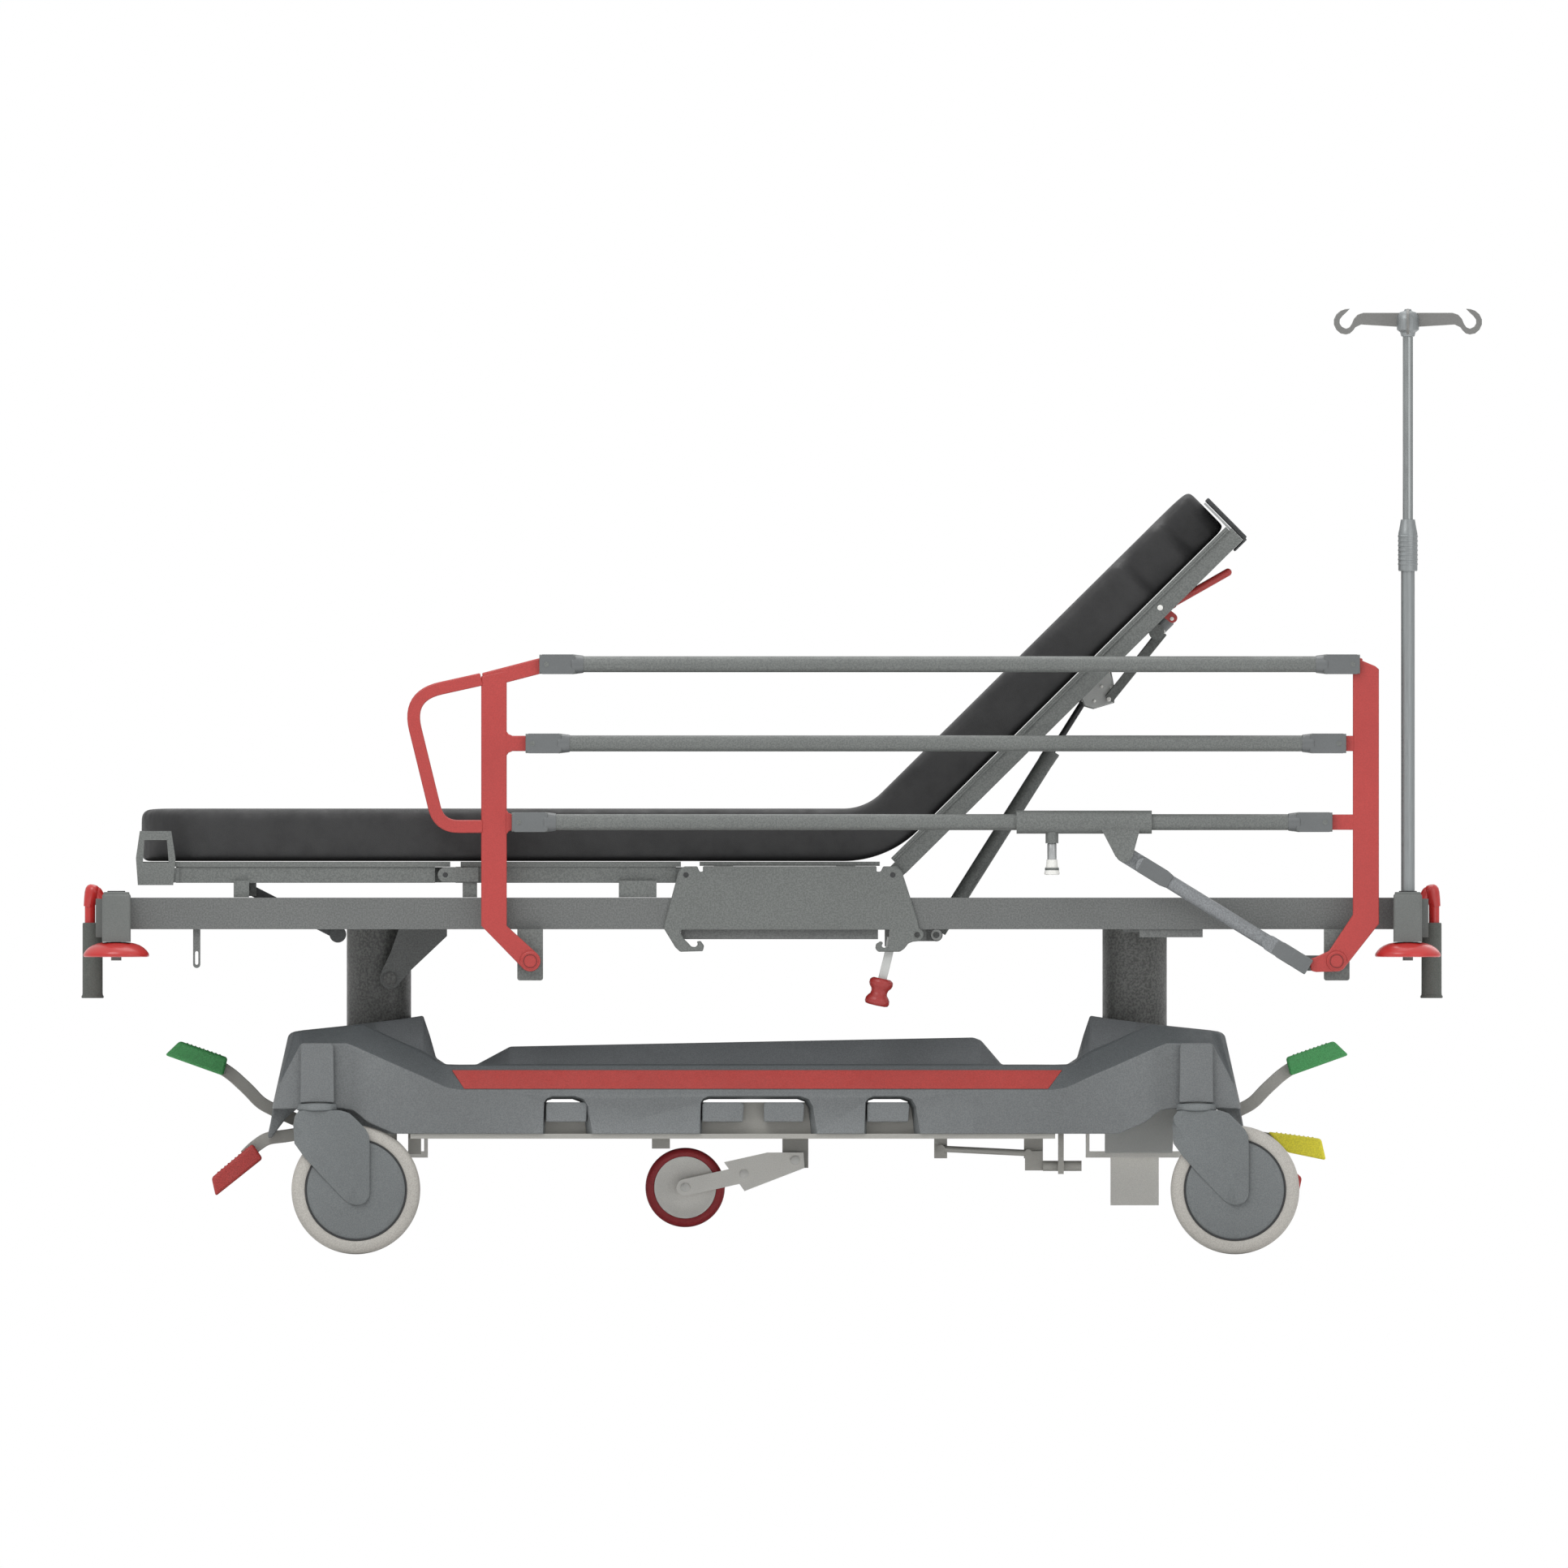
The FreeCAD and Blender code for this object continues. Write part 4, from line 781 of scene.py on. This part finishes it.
def base_cover():
    flipped = [[(COVER_FLIP - x, y, z) for x, y, z in ring] for ring in FOOT_RINGS[:-1]][::-1]
    rings = FOOT_RINGS + TAIL_RINGS + flipped
    bm = bmesh.new()
    # Side faces take the cover grey; the upward slopes and the hump take darker copies of it: painted shade
    # set by which way the faces point.
    loft(bm, rings, [0, 1, 1, 2, 2, 2, 1, 1, 0, 0])
    shell = obj_from("cover_shell", bm, "cover_grey", "base", None, (bevel(4.5, 3, 17),))
    shell.data.materials.append(M["cover_shaded_slope"])
    shell.data.materials.append(M["cover_shaded_hump"])
    settle(shell)
    tools = []
    for x0, x1, ys in ((-790, -700, (-115, 115)), (700, 790, (-115, 0, 115))):
        for y in ys:
            tools.append(formed(add_box, x0, x1, y - 12, y + 12, 200, 320))
    inner = bmesh.new()
    low = [[(max(-740, min(723, x)), y - (26 if k < 2 else 12), z - (60 if k == 0 else 8))
            for k, (x, y, z) in enumerate(ring)] for ring in rings[2:-2]]
    loft(inner, low, [0] * 10)
    tools.append(inner)
    for x0, x1 in ((-336.4, -267.1), (-93.2, 81.9), (162.5, 241.9)):
        for s in (-1, 1):
            arch = [(x0 - 5, 178), (x0 - 3, 236), (x0 + 2, 243), (x0 + 10, 247), (x1 - 22, 247),
                    (x1 - 8, 242), (x1 - 1, 230), (x1 + 8, 178)]
            small = [(x0, 178), (x0 + 1, 234), (x0 + 3, 238), (x0 + 10, 240), (x1 - 28, 240),
                    (x1 - 17, 236), (x1 - 11, 226), (x1 - 6, 178)]
            tools.append(prism(arch, s * 316, s * 280, small))
    for x, w in ((-594.7, 0), (571.0, 11)):
        hole = bmesh.new()
        ring = []
        for k in range(48):
            t = 2 * math.pi * k / 48
            ring.append((x + 54 * math.cos(t) + (w if math.cos(t) > 0 else -w), 54 * math.sin(t)))
        add_skin(hole, [[hole.verts.new(pt(px, py, z)) for px, py in ring] for z in (250, 420)])
        tools.append(hole)
    carve(shell, tools)
    shell.data.shade_smooth()
    shell.data.set_sharp_from_angle(angle=math.radians(28))
    bm = bmesh.new()
    for x in (SWIVEL_FOOT, SWIVEL_HEAD):
        for s in (-1, 1):
            y0, y1 = span(s, SWIVEL_Y, 312.5)
            add_prism(bm, [(x - 26.5, 235.5), (x + 26.5, 235.5), (x + 25.5, 324), (x + 22, 328),
                    (x - 22, 328), (x - 25.5, 324)], y0, y1)
    boss = obj_from("castor_bosses", bm, "cover_grey", "base", 35, (bevel(3.5, 4), weighted))
    bm = bmesh.new()
    for m in (1, -1):
        skirt = [(-751, 268), (-757, 240), (-763, 205), (-767.5, 184), (-766, 180.5), (-761, 181),
                (-751, 195), (-738, 212), (-724, 224), (-714, 230), (-714, 268)]
        line = [(x if m > 0 else COVER_FLIP - x, z) for x, z in skirt]
        for y0, y1 in ((-140, -127), (-103, -12 if m < 0 else 103), (12, 103), (127, 140)):
            if m > 0 and y0 == 12:
                continue
            add_prism(bm, line, y0, y1)
    foot = [(-700, 240), (-700, 300), (-560, 300), (-560, 187.2), (-640, 187.2), (-690, 215)]
    head = [(532, 222), (600, 224), (600, 300), (683, 300), (683, 240), (640, 204), (637, 157), (532, 157)]
    inner = bmesh.new()
    for y0, y1 in ((-96, -92), (92, 96)):
        add_prism(bm, foot, y0, y1)
        add_prism(inner, head, y0, y1)
    # The head panels sit recessed under the cover, yet take the light grey plastic rather than the cover
    # grey, so they show lit: painted light.
    obj_from("cover_head_panels_painted_light", inner, "light_plastic", "base", 35,
            (bevel(1.5, 2), weighted))
    skirts = obj_from("cover_skirts", bm, "cover_grey", "base", 35, (bevel(2, 2), weighted))
    bm = bmesh.new()
    for s in (-1, 1):
        for x0, x1 in ((-335.7, -271), (-93, -28), (2.5, 66), (163, 229)):
            y0, y1 = span(s, 286.0, 305.0)
            add_prism(bm, [(x0, 205.5), (x1 - 2, 205.5), (x1, 232), (x1 - 4, 236), (x0 + 3, 236),
                    (x0, 233)], y0, y1)
    blocks = obj_from("cover_pocket_blocks", bm, "cover_grey", "base", 35,
            (bevel(2, 3), weighted))
    bm = bmesh.new()
    for s in (-1, 1):
        def on(x, z, lift):
            y = 310 - 28 * (z - 254.2) / 39.8
            return pt(x, s * (y + lift * 0.82), z + lift * 0.57)
        corners = [(-462.4, 256.8), (444.1, 256.8), (465.6, 285.3), (-481.3, 285.3)]
        a = [bm.verts.new(on(x, z, -1.0)) for x, z in corners]
        b = [bm.verts.new(on(x, z, 1.4)) for x, z in corners]
        add_band(bm, a, b)
        bm.faces.new(a)
        bm.faces.new(b)
    stripe = obj_from("cover_red_trim", bm, "red_stripe", "base", 35, (bevel(0.6, 2),))
    for ob in (shell, boss, skirts, blocks, stripe):
        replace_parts(ob, "base_cover")


# ---- backrest fittings ----
TURN = math.radians(44.7)       # the backrest in the photo
BACK_X, BACK_Z = 203, 589       # its hinge
GAS_FOOT, GAS_TOP = (270.4, 495.7), (500.2, 859.8)


def back_pt(u, w):
    """A point u along the backrest and w above it, in the side view."""
    c, s = math.cos(TURN), math.sin(TURN)
    return BACK_X + u * c - w * s, BACK_Z + u * s + w * c


def back_box(bm, u0, u1, y0, y1, w0, w1):
    add_prism(bm, [back_pt(u0, w0), back_pt(u1, w0), back_pt(u1, w1), back_pt(u0, w1)], y0, y1)


def back_fittings():
    bm = bmesh.new()
    back_box(bm, 16, 747.5, -318, 318, 12.5, 15.5)
    for y0, y1 in ((-318, -312), (312, 318)):
        back_box(bm, 16, 747.5, y0, y1, 15.5, 20.5)
    back_box(bm, 16, 22, -312, 312, 15.5, 20.5)
    sheet = obj_from("back_tray", bm, "grey_paint", "back", 35, (bevel(0.8, 2),))
    bm = bmesh.new()
    back_box(bm, 748, 751.4, -300, 300, -12.5, 70)
    trim = obj_from("back_end_trim", bm, "silver", "back", 35, (bevel(0.8, 2),))
    bm = bmesh.new()
    back_box(bm, 752.2, 760, -250, 250, -14, 72)
    back_box(bm, 730, 757, -250, 250, -17, -12.7)
    guard = obj_from("back_head_guard", bm, "dark_paint", "back", 35,
            (bevel(2.2, 3), weighted))
    for ob in (sheet, trim, guard):
        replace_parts(ob, "back_deck")
    bm = bmesh.new()
    cheek = [back_pt(*p) for p in ((396, -22), (403, -36), (430, -51), (446, -42), (463, -10), (440, -6),
            (404, -6))]
    for y0, y1 in ((-20, -15.5), (15.5, 20)):
        add_prism(bm, cheek, y0, y1)
    obj_from("release_head", bm, "light_plastic", "back", 35, (bevel(2, 3), weighted))
    bm = bmesh.new()
    x0, z0 = back_pt(430, -42)
    x1, z1 = 622.5, 966.0
    for y in (21, -24):
        add_sweep(bm, [(x0, y, z0), ((x0 + x1) / 2, y, (z0 + z1) / 2), (x1, y, z1)], 0, flat=(15, 5.4))
    obj_from("release_link", bm, "grey_paint", "back", 35, (bevel(1, 2),))
    obj_from("release_pivot", lathe([(0, -19), (11.5, -19), (13.5, -17), (13.5, 12), (11.5, 15), (0, 15)],
            (620.5, 0, 978.5), (math.cos(TURN), 0, math.sin(TURN)), 40), "fitting", "back",
            40)
    pins = bmesh.new()
    for (x, z), r, y in (((618, 1003.6), 4.4, -315), (back_pt(430, -42), 3.6, -26.5),
            ((622.5, 966.0), 3.6, -26.5), (back_pt(412, -28), 2.6, -20), (back_pt(436, -20), 2.6, -20),
            (back_pt(446, -32), 3, -20)):
        for s in (-1, 1):
            add_lathe(pins, [(r, 0), (r, 1.6), (r - 0.9, 2.4), (0, 2.6)], (x, s * -y, z), (0, s, 0), 28)
    obj_from("back_pins", pins, "white_plastic", "back", 40)
    tab = bmesh.new()
    for s in (-1, 1):
        add_lathe(tab, [(3, 0), (3, 1.4), (2.2, 2), (0, 2.2)], (636.2, s * 284, 986.5), (0, s, 0), 24)
    obj_from("release_tab_pins", tab, "white_plastic", "release_bar", 40)
    collar = bmesh.new()
    d = Vector((GAS_TOP[0] - GAS_FOOT[0], 0, GAS_TOP[1] - GAS_FOOT[1])).normalized()
    o = Vector((GAS_FOOT[0], 0, GAS_FOOT[1])) + d * 326
    add_lathe(collar, [(5.2, 2), (9, 2), (12.6, 4), (12.9, 9), (12.4, 12), (12.4, -6), (12.1, -8)][::-1], o,
            d, 40)
    obj_from("gas_spring_collar", collar, "grey_plastic", "gas_cylinder", 40)


# ---- siderail and frame fittings ----
def siderail_fittings():
    for tag, s in SIDES:
        obj_from("plunger_knob_" + tag, lathe([(0, 589), (10.6, 589), (11.8, 590), (11.9, 592.5),
                (11.0, 596), (9.4, 602), (8.6, 608), (8.4, 612.5), (7, 613), (0, 613)],
                (450, s * RAIL_Y, 0), ALONG_Z, 48), "white_plastic", "rail_sleeve_" + tag,
                40)
        obj_from("plunger_pin_" + tag, lathe([(6.6, 612), (7.2, 613), (7.2, 637), (6.6, 638)],
                (450, s * RAIL_Y, 0), ALONG_Z, 32), "silver", "rail_sleeve_" + tag, 40)
        for end, x in (("foot", UPRIGHT_FOOT), ("head", UPRIGHT_HEAD)):
            obj_from("pivot_cap_" + end + "_" + tag, lathe([(13.2, 374.1), (15.6, 374.1), (16, 375),
                    (15.2, 376.6), (13.2, 377.2), (12.6, 378.2), (0, 378.4)], (x, 0, UPRIGHT_Z), (0, s, 0),
                    48), "red_paint", "frame", 40)
            # A thin ring of darker red stands for the engraved groove round each pivot cap: painted shade
            # in the groove.
            obj_from("pivot_groove_shade_ring_" + end + "_" + tag, lathe([(9.4, 378.0), (9.7, 379.0), (10.7, 379.0),
                    (11.0, 378.0)], (x, 0, UPRIGHT_Z), (0, s, 0), 48), "groove_shade_red", "frame", 40)
        for rail, dx, dz in (("low", -17.6, 215.8), ("mid", 3.8, 338.0), ("top", 25.2, 460.9)):
            bm = bmesh.new()
            for x, way in ((UPRIGHT_FOOT + dx, 1), (UPRIGHT_HEAD + dx, -1)):
                z = UPRIGHT_Z + dz
                add_lathe(bm, [(12.8, 39), (15.4, 39), (15.6, 41), (15.2, 44), (14.2, 52), (13.6, 57),
                        (12.8, 58)], (x, s * RAIL_Y, z), (way, 0, 0), 40, close=True)
                x0, x1 = sorted((x - 10.5 * way, x + 44.5 * way))
                y0, y1 = s * RAIL_Y - 13.8, s * RAIL_Y + 13.8
                for a, b in ((y0, y0 + 9.2), (y1 - 9.2, y1)):
                    add_prism(bm, [(x0, z - 11), (x0 + 4, z - 15.4), (x1 - 4, z - 15.4), (x1, z - 12),
                            (x1, z + 12), (x1 - 4, z + 15.4), (x0 + 4, z + 15.4), (x0, z + 11)], a, b)
            obj_from("rail_fitting_" + rail + "_" + tag, bm, "fitting", "rail_" + rail + "_" + tag,
                    30, (bevel(1.4, 2), weighted))


def bar(bm, p, q, width, y0, y1):
    """A flat bar from p to q with a rounded end at q."""
    p, q = Vector((p[0], 0, p[1])), Vector((q[0], 0, q[1]))
    d = (q - p).normalized()
    n = Vector((-d.z, 0, d.x))
    r = width / 2
    line = [p + n * r]
    for k in range(17):
        t = math.pi * (0.5 - k / 16)
        line.append(q + n * r * math.sin(t) + d * r * math.cos(t))
    line.append(p - n * r)
    add_prism(bm, [(v.x, v.z) for v in line], y0, y1)


def strut_fittings():
    """Long sockets at both ends of each strut."""
    a, b = Vector((838.0, 0, 452.0)), Vector((562.0, 0, 621.7))
    d = (b - a).normalized()
    n = Vector((-d.z, 0, d.x))

    def outline(o, way, t0, t1):
        spans = ((t0, -13.2), (t1 - 12, -13.2), (t1, -11), (t1, 11), (t1 - 12, 13.2), (t0, 13.2))
        points = [o + d * way * t + n * w for t, w in spans]
        return [(p.x, p.z) for p in points]

    for tag, s in SIDES:
        bm = bmesh.new()
        y0, y1 = s * RAIL_Y - 13.0, s * RAIL_Y + 13.0
        add_prism(bm, outline(a, 1, -13, 20), y0, y0 + 8.6)
        add_prism(bm, outline(a, 1, -13, 20), y1 - 8.6, y1)
        add_prism(bm, outline(a, 1, 14, 50), y0 + 0.3, y1 - 0.3)
        add_prism(bm, outline(b, -1, 30, 84), y0, y1)
        obj_from("strut_sockets_" + tag, bm, "fitting", "rail_strut_" + tag, 30,
                (bevel(2, 3), weighted))


def uprights():
    """Red plates that carry the three rails, with the grab loop at the foot end."""
    for tag, s in SIDES:
        y0, y1 = s * RAIL_Y - 4.0, s * RAIL_Y + 4.0
        bm = bmesh.new()
        turn = [(UPRIGHT_FOOT + 16 * math.sin(t), UPRIGHT_Z + 16 * math.cos(t)) for t in
                [math.radians(46 + 18 * k) for k in range(11)]]
        add_prism(bm, [(-396.3, 510)] + turn + [(-436, 510), (-436, 898), (-396.3, 906)], y0, y1)
        for pin_z in (793, 670.8):
            add_prism(bm, [(-398, pin_z + 21), (-393.5, pin_z + 14.5), (-387, pin_z + 12),
                    (-387, pin_z - 12), (-393.5, pin_z - 14.5), (-398, pin_z - 21)], y0 + 0.2, y1 - 0.2)
        for root, pin in (((-432, 890.6), (-334.8, 915.9)), ((-414, 793), (-356.2, 793)),
                ((-414, 670.8), (-377.6, 670.8))):
            bar(bm, root, pin, 24, y0 + 0.4, y1 - 0.4)
        loop = [(-435.6, 892.6), (-551, 867), (-501.4, 664.1), (-434, 664.1)]
        path = round_path([(x, s * RAIL_Y, z) for x, z in loop], 56, 12)
        add_sweep(bm, path, 0, flat=(20, 12))
        plate = obj_from("foot_plate_" + tag, bm, "red_paint", "foot_upright_" + tag, 32,
                (bevel(2.2, 3, 50), weighted))
        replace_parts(plate, "foot_upright_" + tag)
        bm = bmesh.new()
        turn = [(UPRIGHT_HEAD + 16 * math.sin(t), UPRIGHT_Z + 16 * math.cos(t)) for t in
                [math.radians(180 - 15 * k) for k in range(5)]]
        add_prism(bm, [(860, 438), (892, 439)] + turn[1:] + [(957.6, 513), (957.6, 908), (952, 913),
                (921, 926), (917, 926), (917, 527), (880, 471), (858, 461), (849, 458), (852, 440)], y0, y1)
        for root, pin in (((930, 913), (917.2, 915.9)), ((930, 793), (895.8, 793)),
                ((930, 670.8), (874.4, 670.8))):
            bar(bm, root, pin, 24, y0 + 0.4, y1 - 0.4)
        plate = obj_from("head_plate_" + tag, bm, "red_paint", "head_upright_" + tag, 32,
                (bevel(2.2, 3, 50), weighted))
        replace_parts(plate, "head_upright_" + tag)


def side_plates():
    """Folded plates either side of the seat with bag hooks, knee hinge plates, gas spring eyes."""
    line = [(-127.2, 599), (-119.7, 602.2), (-100.5, 602.2), (-97, 594), (-91.9, 594), (-91.9, 602.5),
            (177.7, 602.5), (177.7, 594), (184, 594), (188, 602.2), (208.9, 602.2), (217, 594),
            (220.5, 583.9), (240.7, 520.9), (243.5, 507), (249.5, 502), (251.3, 495.7), (249, 489.5),
            (242.5, 486), (234, 485), (227.1, 482.5), (221, 474.5), (214, 469.5), (180.2, 469.5),
            (175.8, 474.5), (176.6, 481.6), (183.8, 486.1), (188, 484), (185.4, 478.5), (187.8, 475.8),
            (195.3, 476.5), (197.4, 503.7), (-124.7, 503.7), (-126.7, 499.7), (-122.2, 490.6),
            (-114.6, 483.1), (-109.6, 477.5), (-103, 477), (-99.6, 481.2), (-101.5, 485.6), (-95.5, 486.6),
            (-89.9, 479), (-91.9, 470.5), (-127.2, 469.5), (-134.8, 476.5), (-152.4, 505.5),
            (-150.9, 515.8), (-130.7, 590.4)]
    for tag, s in SIDES:
        bm = bmesh.new()
        y0, y1 = span(s, 330.0, 335.0)
        add_prism(bm, line, y0, y1)
        plate = obj_from("seat_plate_" + tag, bm, "grey_paint", "frame", 30)
        drill(plate, [((240.7, s * 320.0, 495.7), (0, s, 0), 4.4, 20.0)])
        plate.modifiers.new("edge", "BEVEL").width = 0.0012
        settle(plate)
        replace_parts(plate, "seat_side_plates")
        bm = bmesh.new()
        for x in (-118.1, 202.9):
            add_lathe(bm, [(4.2, 334), (4.2, 335.5), (3.2, 335.9), (0, 335.9)], (x, 0, HINGE_Z), (0, s, 0),
                    28)
        knee = bmesh.new()
        bar(knee, (-440, 589.4), (KNEE_X, HINGE_Z), 22.6, *span(s, 326.4, 329.2))
        obj_from("knee_plate_" + tag, knee, "grey_paint", "thigh", 30,
                (bevel(0.8, 2), weighted))
        obj_from("knee_pin_" + tag, lathe([(4, 329), (4, 329.6), (3.2, 330), (0, 330)],
                (KNEE_X, 0, HINGE_Z), (0, s, 0), 28), "dark_rubber", "thigh", 40)
        obj_from("seat_plate_pins_" + tag, bm, "dark_rubber", "frame", 40)
        obj_from("gas_spring_eye_" + tag, lathe([(3.4, 0), (8.2, 0), (8.8, 0.8), (8.8, 3.2), (8.2, 4),
                (3.4, 4)], (GAS_FOOT[0], s * (17.2 if s < 0 else 16.0), GAS_FOOT[1]), (0, s, 0), 32,
                close=True), "light_plastic", "gas_cylinder", 40)


def pole_fittings():
    bm = bmesh.new()
    o = (POST_X, -350.0, 0)
    prof = [(10.8, 1060.5), (14.0, 1060.5), (14.9, 1062)]
    for k in range(7):
        z = 1066 + k * 7.2
        prof += [(14.9, z), (14.9, z + 3.6), (15.5, z + 4.2), (15.5, z + 6.6), (14.9, z + 7.2)]
    prof += [(14.9, 1119), (13.4, 1126), (12, 1134), (11, 1140.4), (8.2, 1141)]
    add_lathe(bm, prof, o, ALONG_Z, 64)
    obj_from("pole_collar", bm, "tube_grey", "frame", 25)
    bm = bmesh.new()
    hook = [(5, 1439), (929.9, 1443.2), (921.1, 1439), (917.5, 1434), (912.6, 1429.4), (906.3, 1427.7),
            (898.1, 1429.4), (891.4, 1435.1), (887.6, 1443.2), (887.6, 1451), (891.4, 1459.1),
            (898.1, 1464.7), (905.2, 1467.2), (912.6, 1467.8), (907, 1462.2), (900.6, 1456.2),
            (896.7, 1451), (896.4, 1445), (899.9, 1439.7), (906.3, 1436.8), (911.9, 1439), (915.4, 1444.2),
            (918.6, 1452), (924.6, 1458.7), (933.4, 1461.5), (5, 1461.5)]
    hook = [(x - POST_X if x > 5 else -x, z) for x, z in hook]
    for quarter in range(4):
        arm = bmesh.new()
        add_prism(arm, hook, -2.3, 2.3)
        turn = Matrix.Rotation(math.radians(90 * quarter), 4, "Z")
        home = pt(0, 0, 0)
        bmesh.ops.translate(arm, verts=arm.verts, vec=-Vector(home))
        bmesh.ops.transform(arm, matrix=turn, verts=arm.verts)
        bmesh.ops.translate(arm, verts=arm.verts, vec=Vector(pt(*o)))
        piece = obj_from("pole_hook_%d" % quarter, arm, "hook_metal", "pole_upper", 30,
                (bevel(1.1, 3), weighted))
        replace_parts(piece, "iv_pole_upper")
    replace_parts(obj_from("pole_stem", lathe([(0, 800), (7.4, 800), (8, 800.6), (8, 1440), (0, 1440)], o,
            ALONG_Z, 48), "chrome", "pole_upper", 40), "iv_pole_upper")
    add_lathe(bm, [(8.2, 1424), (10.4, 1425), (12, 1431), (17.1, 1435), (17.4, 1440), (17.4, 1452),
            (16.6, 1457), (13, 1462), (6, 1464.5), (5, 1467), (0, 1467.6)], o, ALONG_Z, 64)
    obj_from("pole_hub", bm, "tube_grey", "pole_upper", 30)


# ---- mattress ----
BEND_X, BEND_Z, BEND_MID = 126.0, 776.0, 125.0
BEND_END = BEND_X + BEND_MID * TURN
PAD_END = BEND_END + 748.6 - 76.8
PAD_FOOT = -966.0
PAD_VOXEL = 0.0075      # metres
PAD_SWELL = 2.4         # most that the cloth may move a point
PAD_FLOOR = 0.6102      # metres; the deck that the mattress lies on
CLOTH_FRAMES = 20
HINGE_SPAN = 46.0       # half the length over which the mattress blends at a deck hinge


def ease(t):
    t = min(1.0, max(0.0, t))
    return t * t * (3 - 2 * t)


def half_width(x):
    """Plan of the mattress: broad round corners at the feet, two steps in towards the head."""
    w = 309.0
    if x < PAD_FOOT + 110:
        t = 110 - (x - PAD_FOOT)
        w = 199.0 + math.sqrt(max(0.0, 110.0 ** 2 - t * t))
    w -= 34.0 * ease((x - 728.0) / 24.0)
    w -= 30.0 * ease((x - 812.0) / 26.0)
    if x > PAD_END - 30:
        t = x - (PAD_END - 30)
        w -= 30.0 - math.sqrt(max(0.0, 30.0 ** 2 - t * t))
    return w


def bend(x, z):
    """Carries the flat mattress up round the seat bend and along the backrest."""
    if x <= BEND_X:
        return x, z
    a = min(1.0, (x - BEND_X) / (BEND_END - BEND_X)) * TURN
    r = BEND_Z - z
    bx, bz = BEND_X + r * math.sin(a), BEND_Z - r * math.cos(a)
    over = max(0.0, x - BEND_END)
    return bx + over * math.cos(TURN), bz + over * math.sin(TURN)


def flat_mattress():
    """The starting form, a little slimmer than the finished cushion."""
    stations = []
    x = PAD_FOOT + 1
    while x < PAD_END - 2:
        near_end = x < PAD_FOOT + 112 or x > PAD_END - 34 or 720 < x < 845
        stations.append(x)
        x += 3.0 if near_end else 14.0
    stations.append(PAD_END - 1)
    bm = bmesh.new()
    rings = []
    for x in stations:
        w = half_width(x) - 1
        ring = []
        for y, z in ((w - 4, 610.6), (w, 614.6), (w, 682), (w - 7, 689.6), (-(w - 7), 689.6), (-w, 682),
                (-w, 614.6), (-(w - 4), 610.6)):
            ring.append(bm.verts.new(pt(x, y, z)))
        rings.append(ring)
    add_skin(bm, rings)
    return bm


def inflate(ob, cap):
    """Pressurised cloth for a few frames; no point moves further than cap millimetres."""
    start = [v.co.copy() for v in ob.data.vertices]
    cloth = ob.modifiers.new("air", "CLOTH")
    s = cloth.settings
    s.quality = 4
    s.mass = 0.4
    s.tension_stiffness = 25
    s.compression_stiffness = 25
    s.shear_stiffness = 8
    s.bending_stiffness = 1.5
    s.use_pressure = True
    s.uniform_pressure_force = 4.0
    s.effector_weights.gravity = 0.0
    cloth.collision_settings.use_collision = False
    scene = bpy.context.scene
    for f in range(1, CLOTH_FRAMES + 1):
        scene.frame_set(f)
    graph = bpy.context.evaluated_depsgraph_get()
    blown = [v.co.copy() for v in ob.evaluated_get(graph).data.vertices]
    ob.modifiers.clear()
    scene.frame_set(1)
    for v, a, b in zip(ob.data.vertices, start, blown):
        d = b - a
        if d.length > cap / 1000.0:
            d *= cap / 1000.0 / d.length
        v.co = a + d


def mattress():
    body = obj_from("mattress_form", flat_mattress(), "vinyl", None, smooth=None)
    m = body.modifiers.new("even", "REMESH")
    m.mode = "VOXEL"
    m.voxel_size = PAD_VOXEL
    settle(body)
    inflate(body, PAD_SWELL)
    for v in body.data.vertices:
        v.co.z = max(v.co.z, PAD_FLOOR)
    m = body.modifiers.new("soft", "SMOOTH")
    m.factor = 0.5
    m.iterations = 1
    m = body.modifiers.new("fine", "SUBSURF")
    m.levels = 1
    m.render_levels = 1
    settle(body)
    pieces = (("mattress_foot", -2000.0, -300.0, "leg", "thigh",
            (KNEE_X - HINGE_SPAN, KNEE_X + HINGE_SPAN)), ("mattress_middle", -300.0, 20.0, "thigh", "frame",
            (THIGH_X - HINGE_SPAN, THIGH_X + HINGE_SPAN)), ("mattress_head", 20.0, 2000.0, "frame", "back",
            None))
    nodes = {"mattress_foot": ("mattress_leg",), "mattress_middle": ("mattress_thigh", "mattress_seat"),
             "mattress_head": ("mattress_back",)}
    for name, lo, hi, one, two, span in pieces:
        bm = bmesh.new()
        bm.from_mesh(body.data)
        for x, side in ((lo, True), (hi, False)):
            geom = bm.verts[:] + bm.edges[:] + bm.faces[:]
            bmesh.ops.bisect_plane(bm, geom=geom, plane_co=pt(x, 0, 0), plane_no=(1, 0, 0),
                                   clear_inner=side, clear_outer=not side)
        for v in bm.verts:
            x, z = bend(v.co.x * 1000 - OFF.x, v.co.z * 1000)
            v.co.x, v.co.z = (x + OFF.x) / 1000.0, z / 1000.0
        ob = mesh_object(name, bm)
        ob.data.materials.append(M["vinyl"])
        ob.data.shade_smooth()
        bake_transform(ob)
        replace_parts(ob, *nodes[name])
    bpy.data.objects.remove(body)


# ---- scene ----
stage()
paint_nodes()
castor_wheels()
castor_forks()
fifth_wheel()
pedals()
corners()
knob_lever()
base_cover()
back_fittings()
siderail_fittings()
strut_fittings()
uprights()
side_plates()
pole_fittings()
mattress()
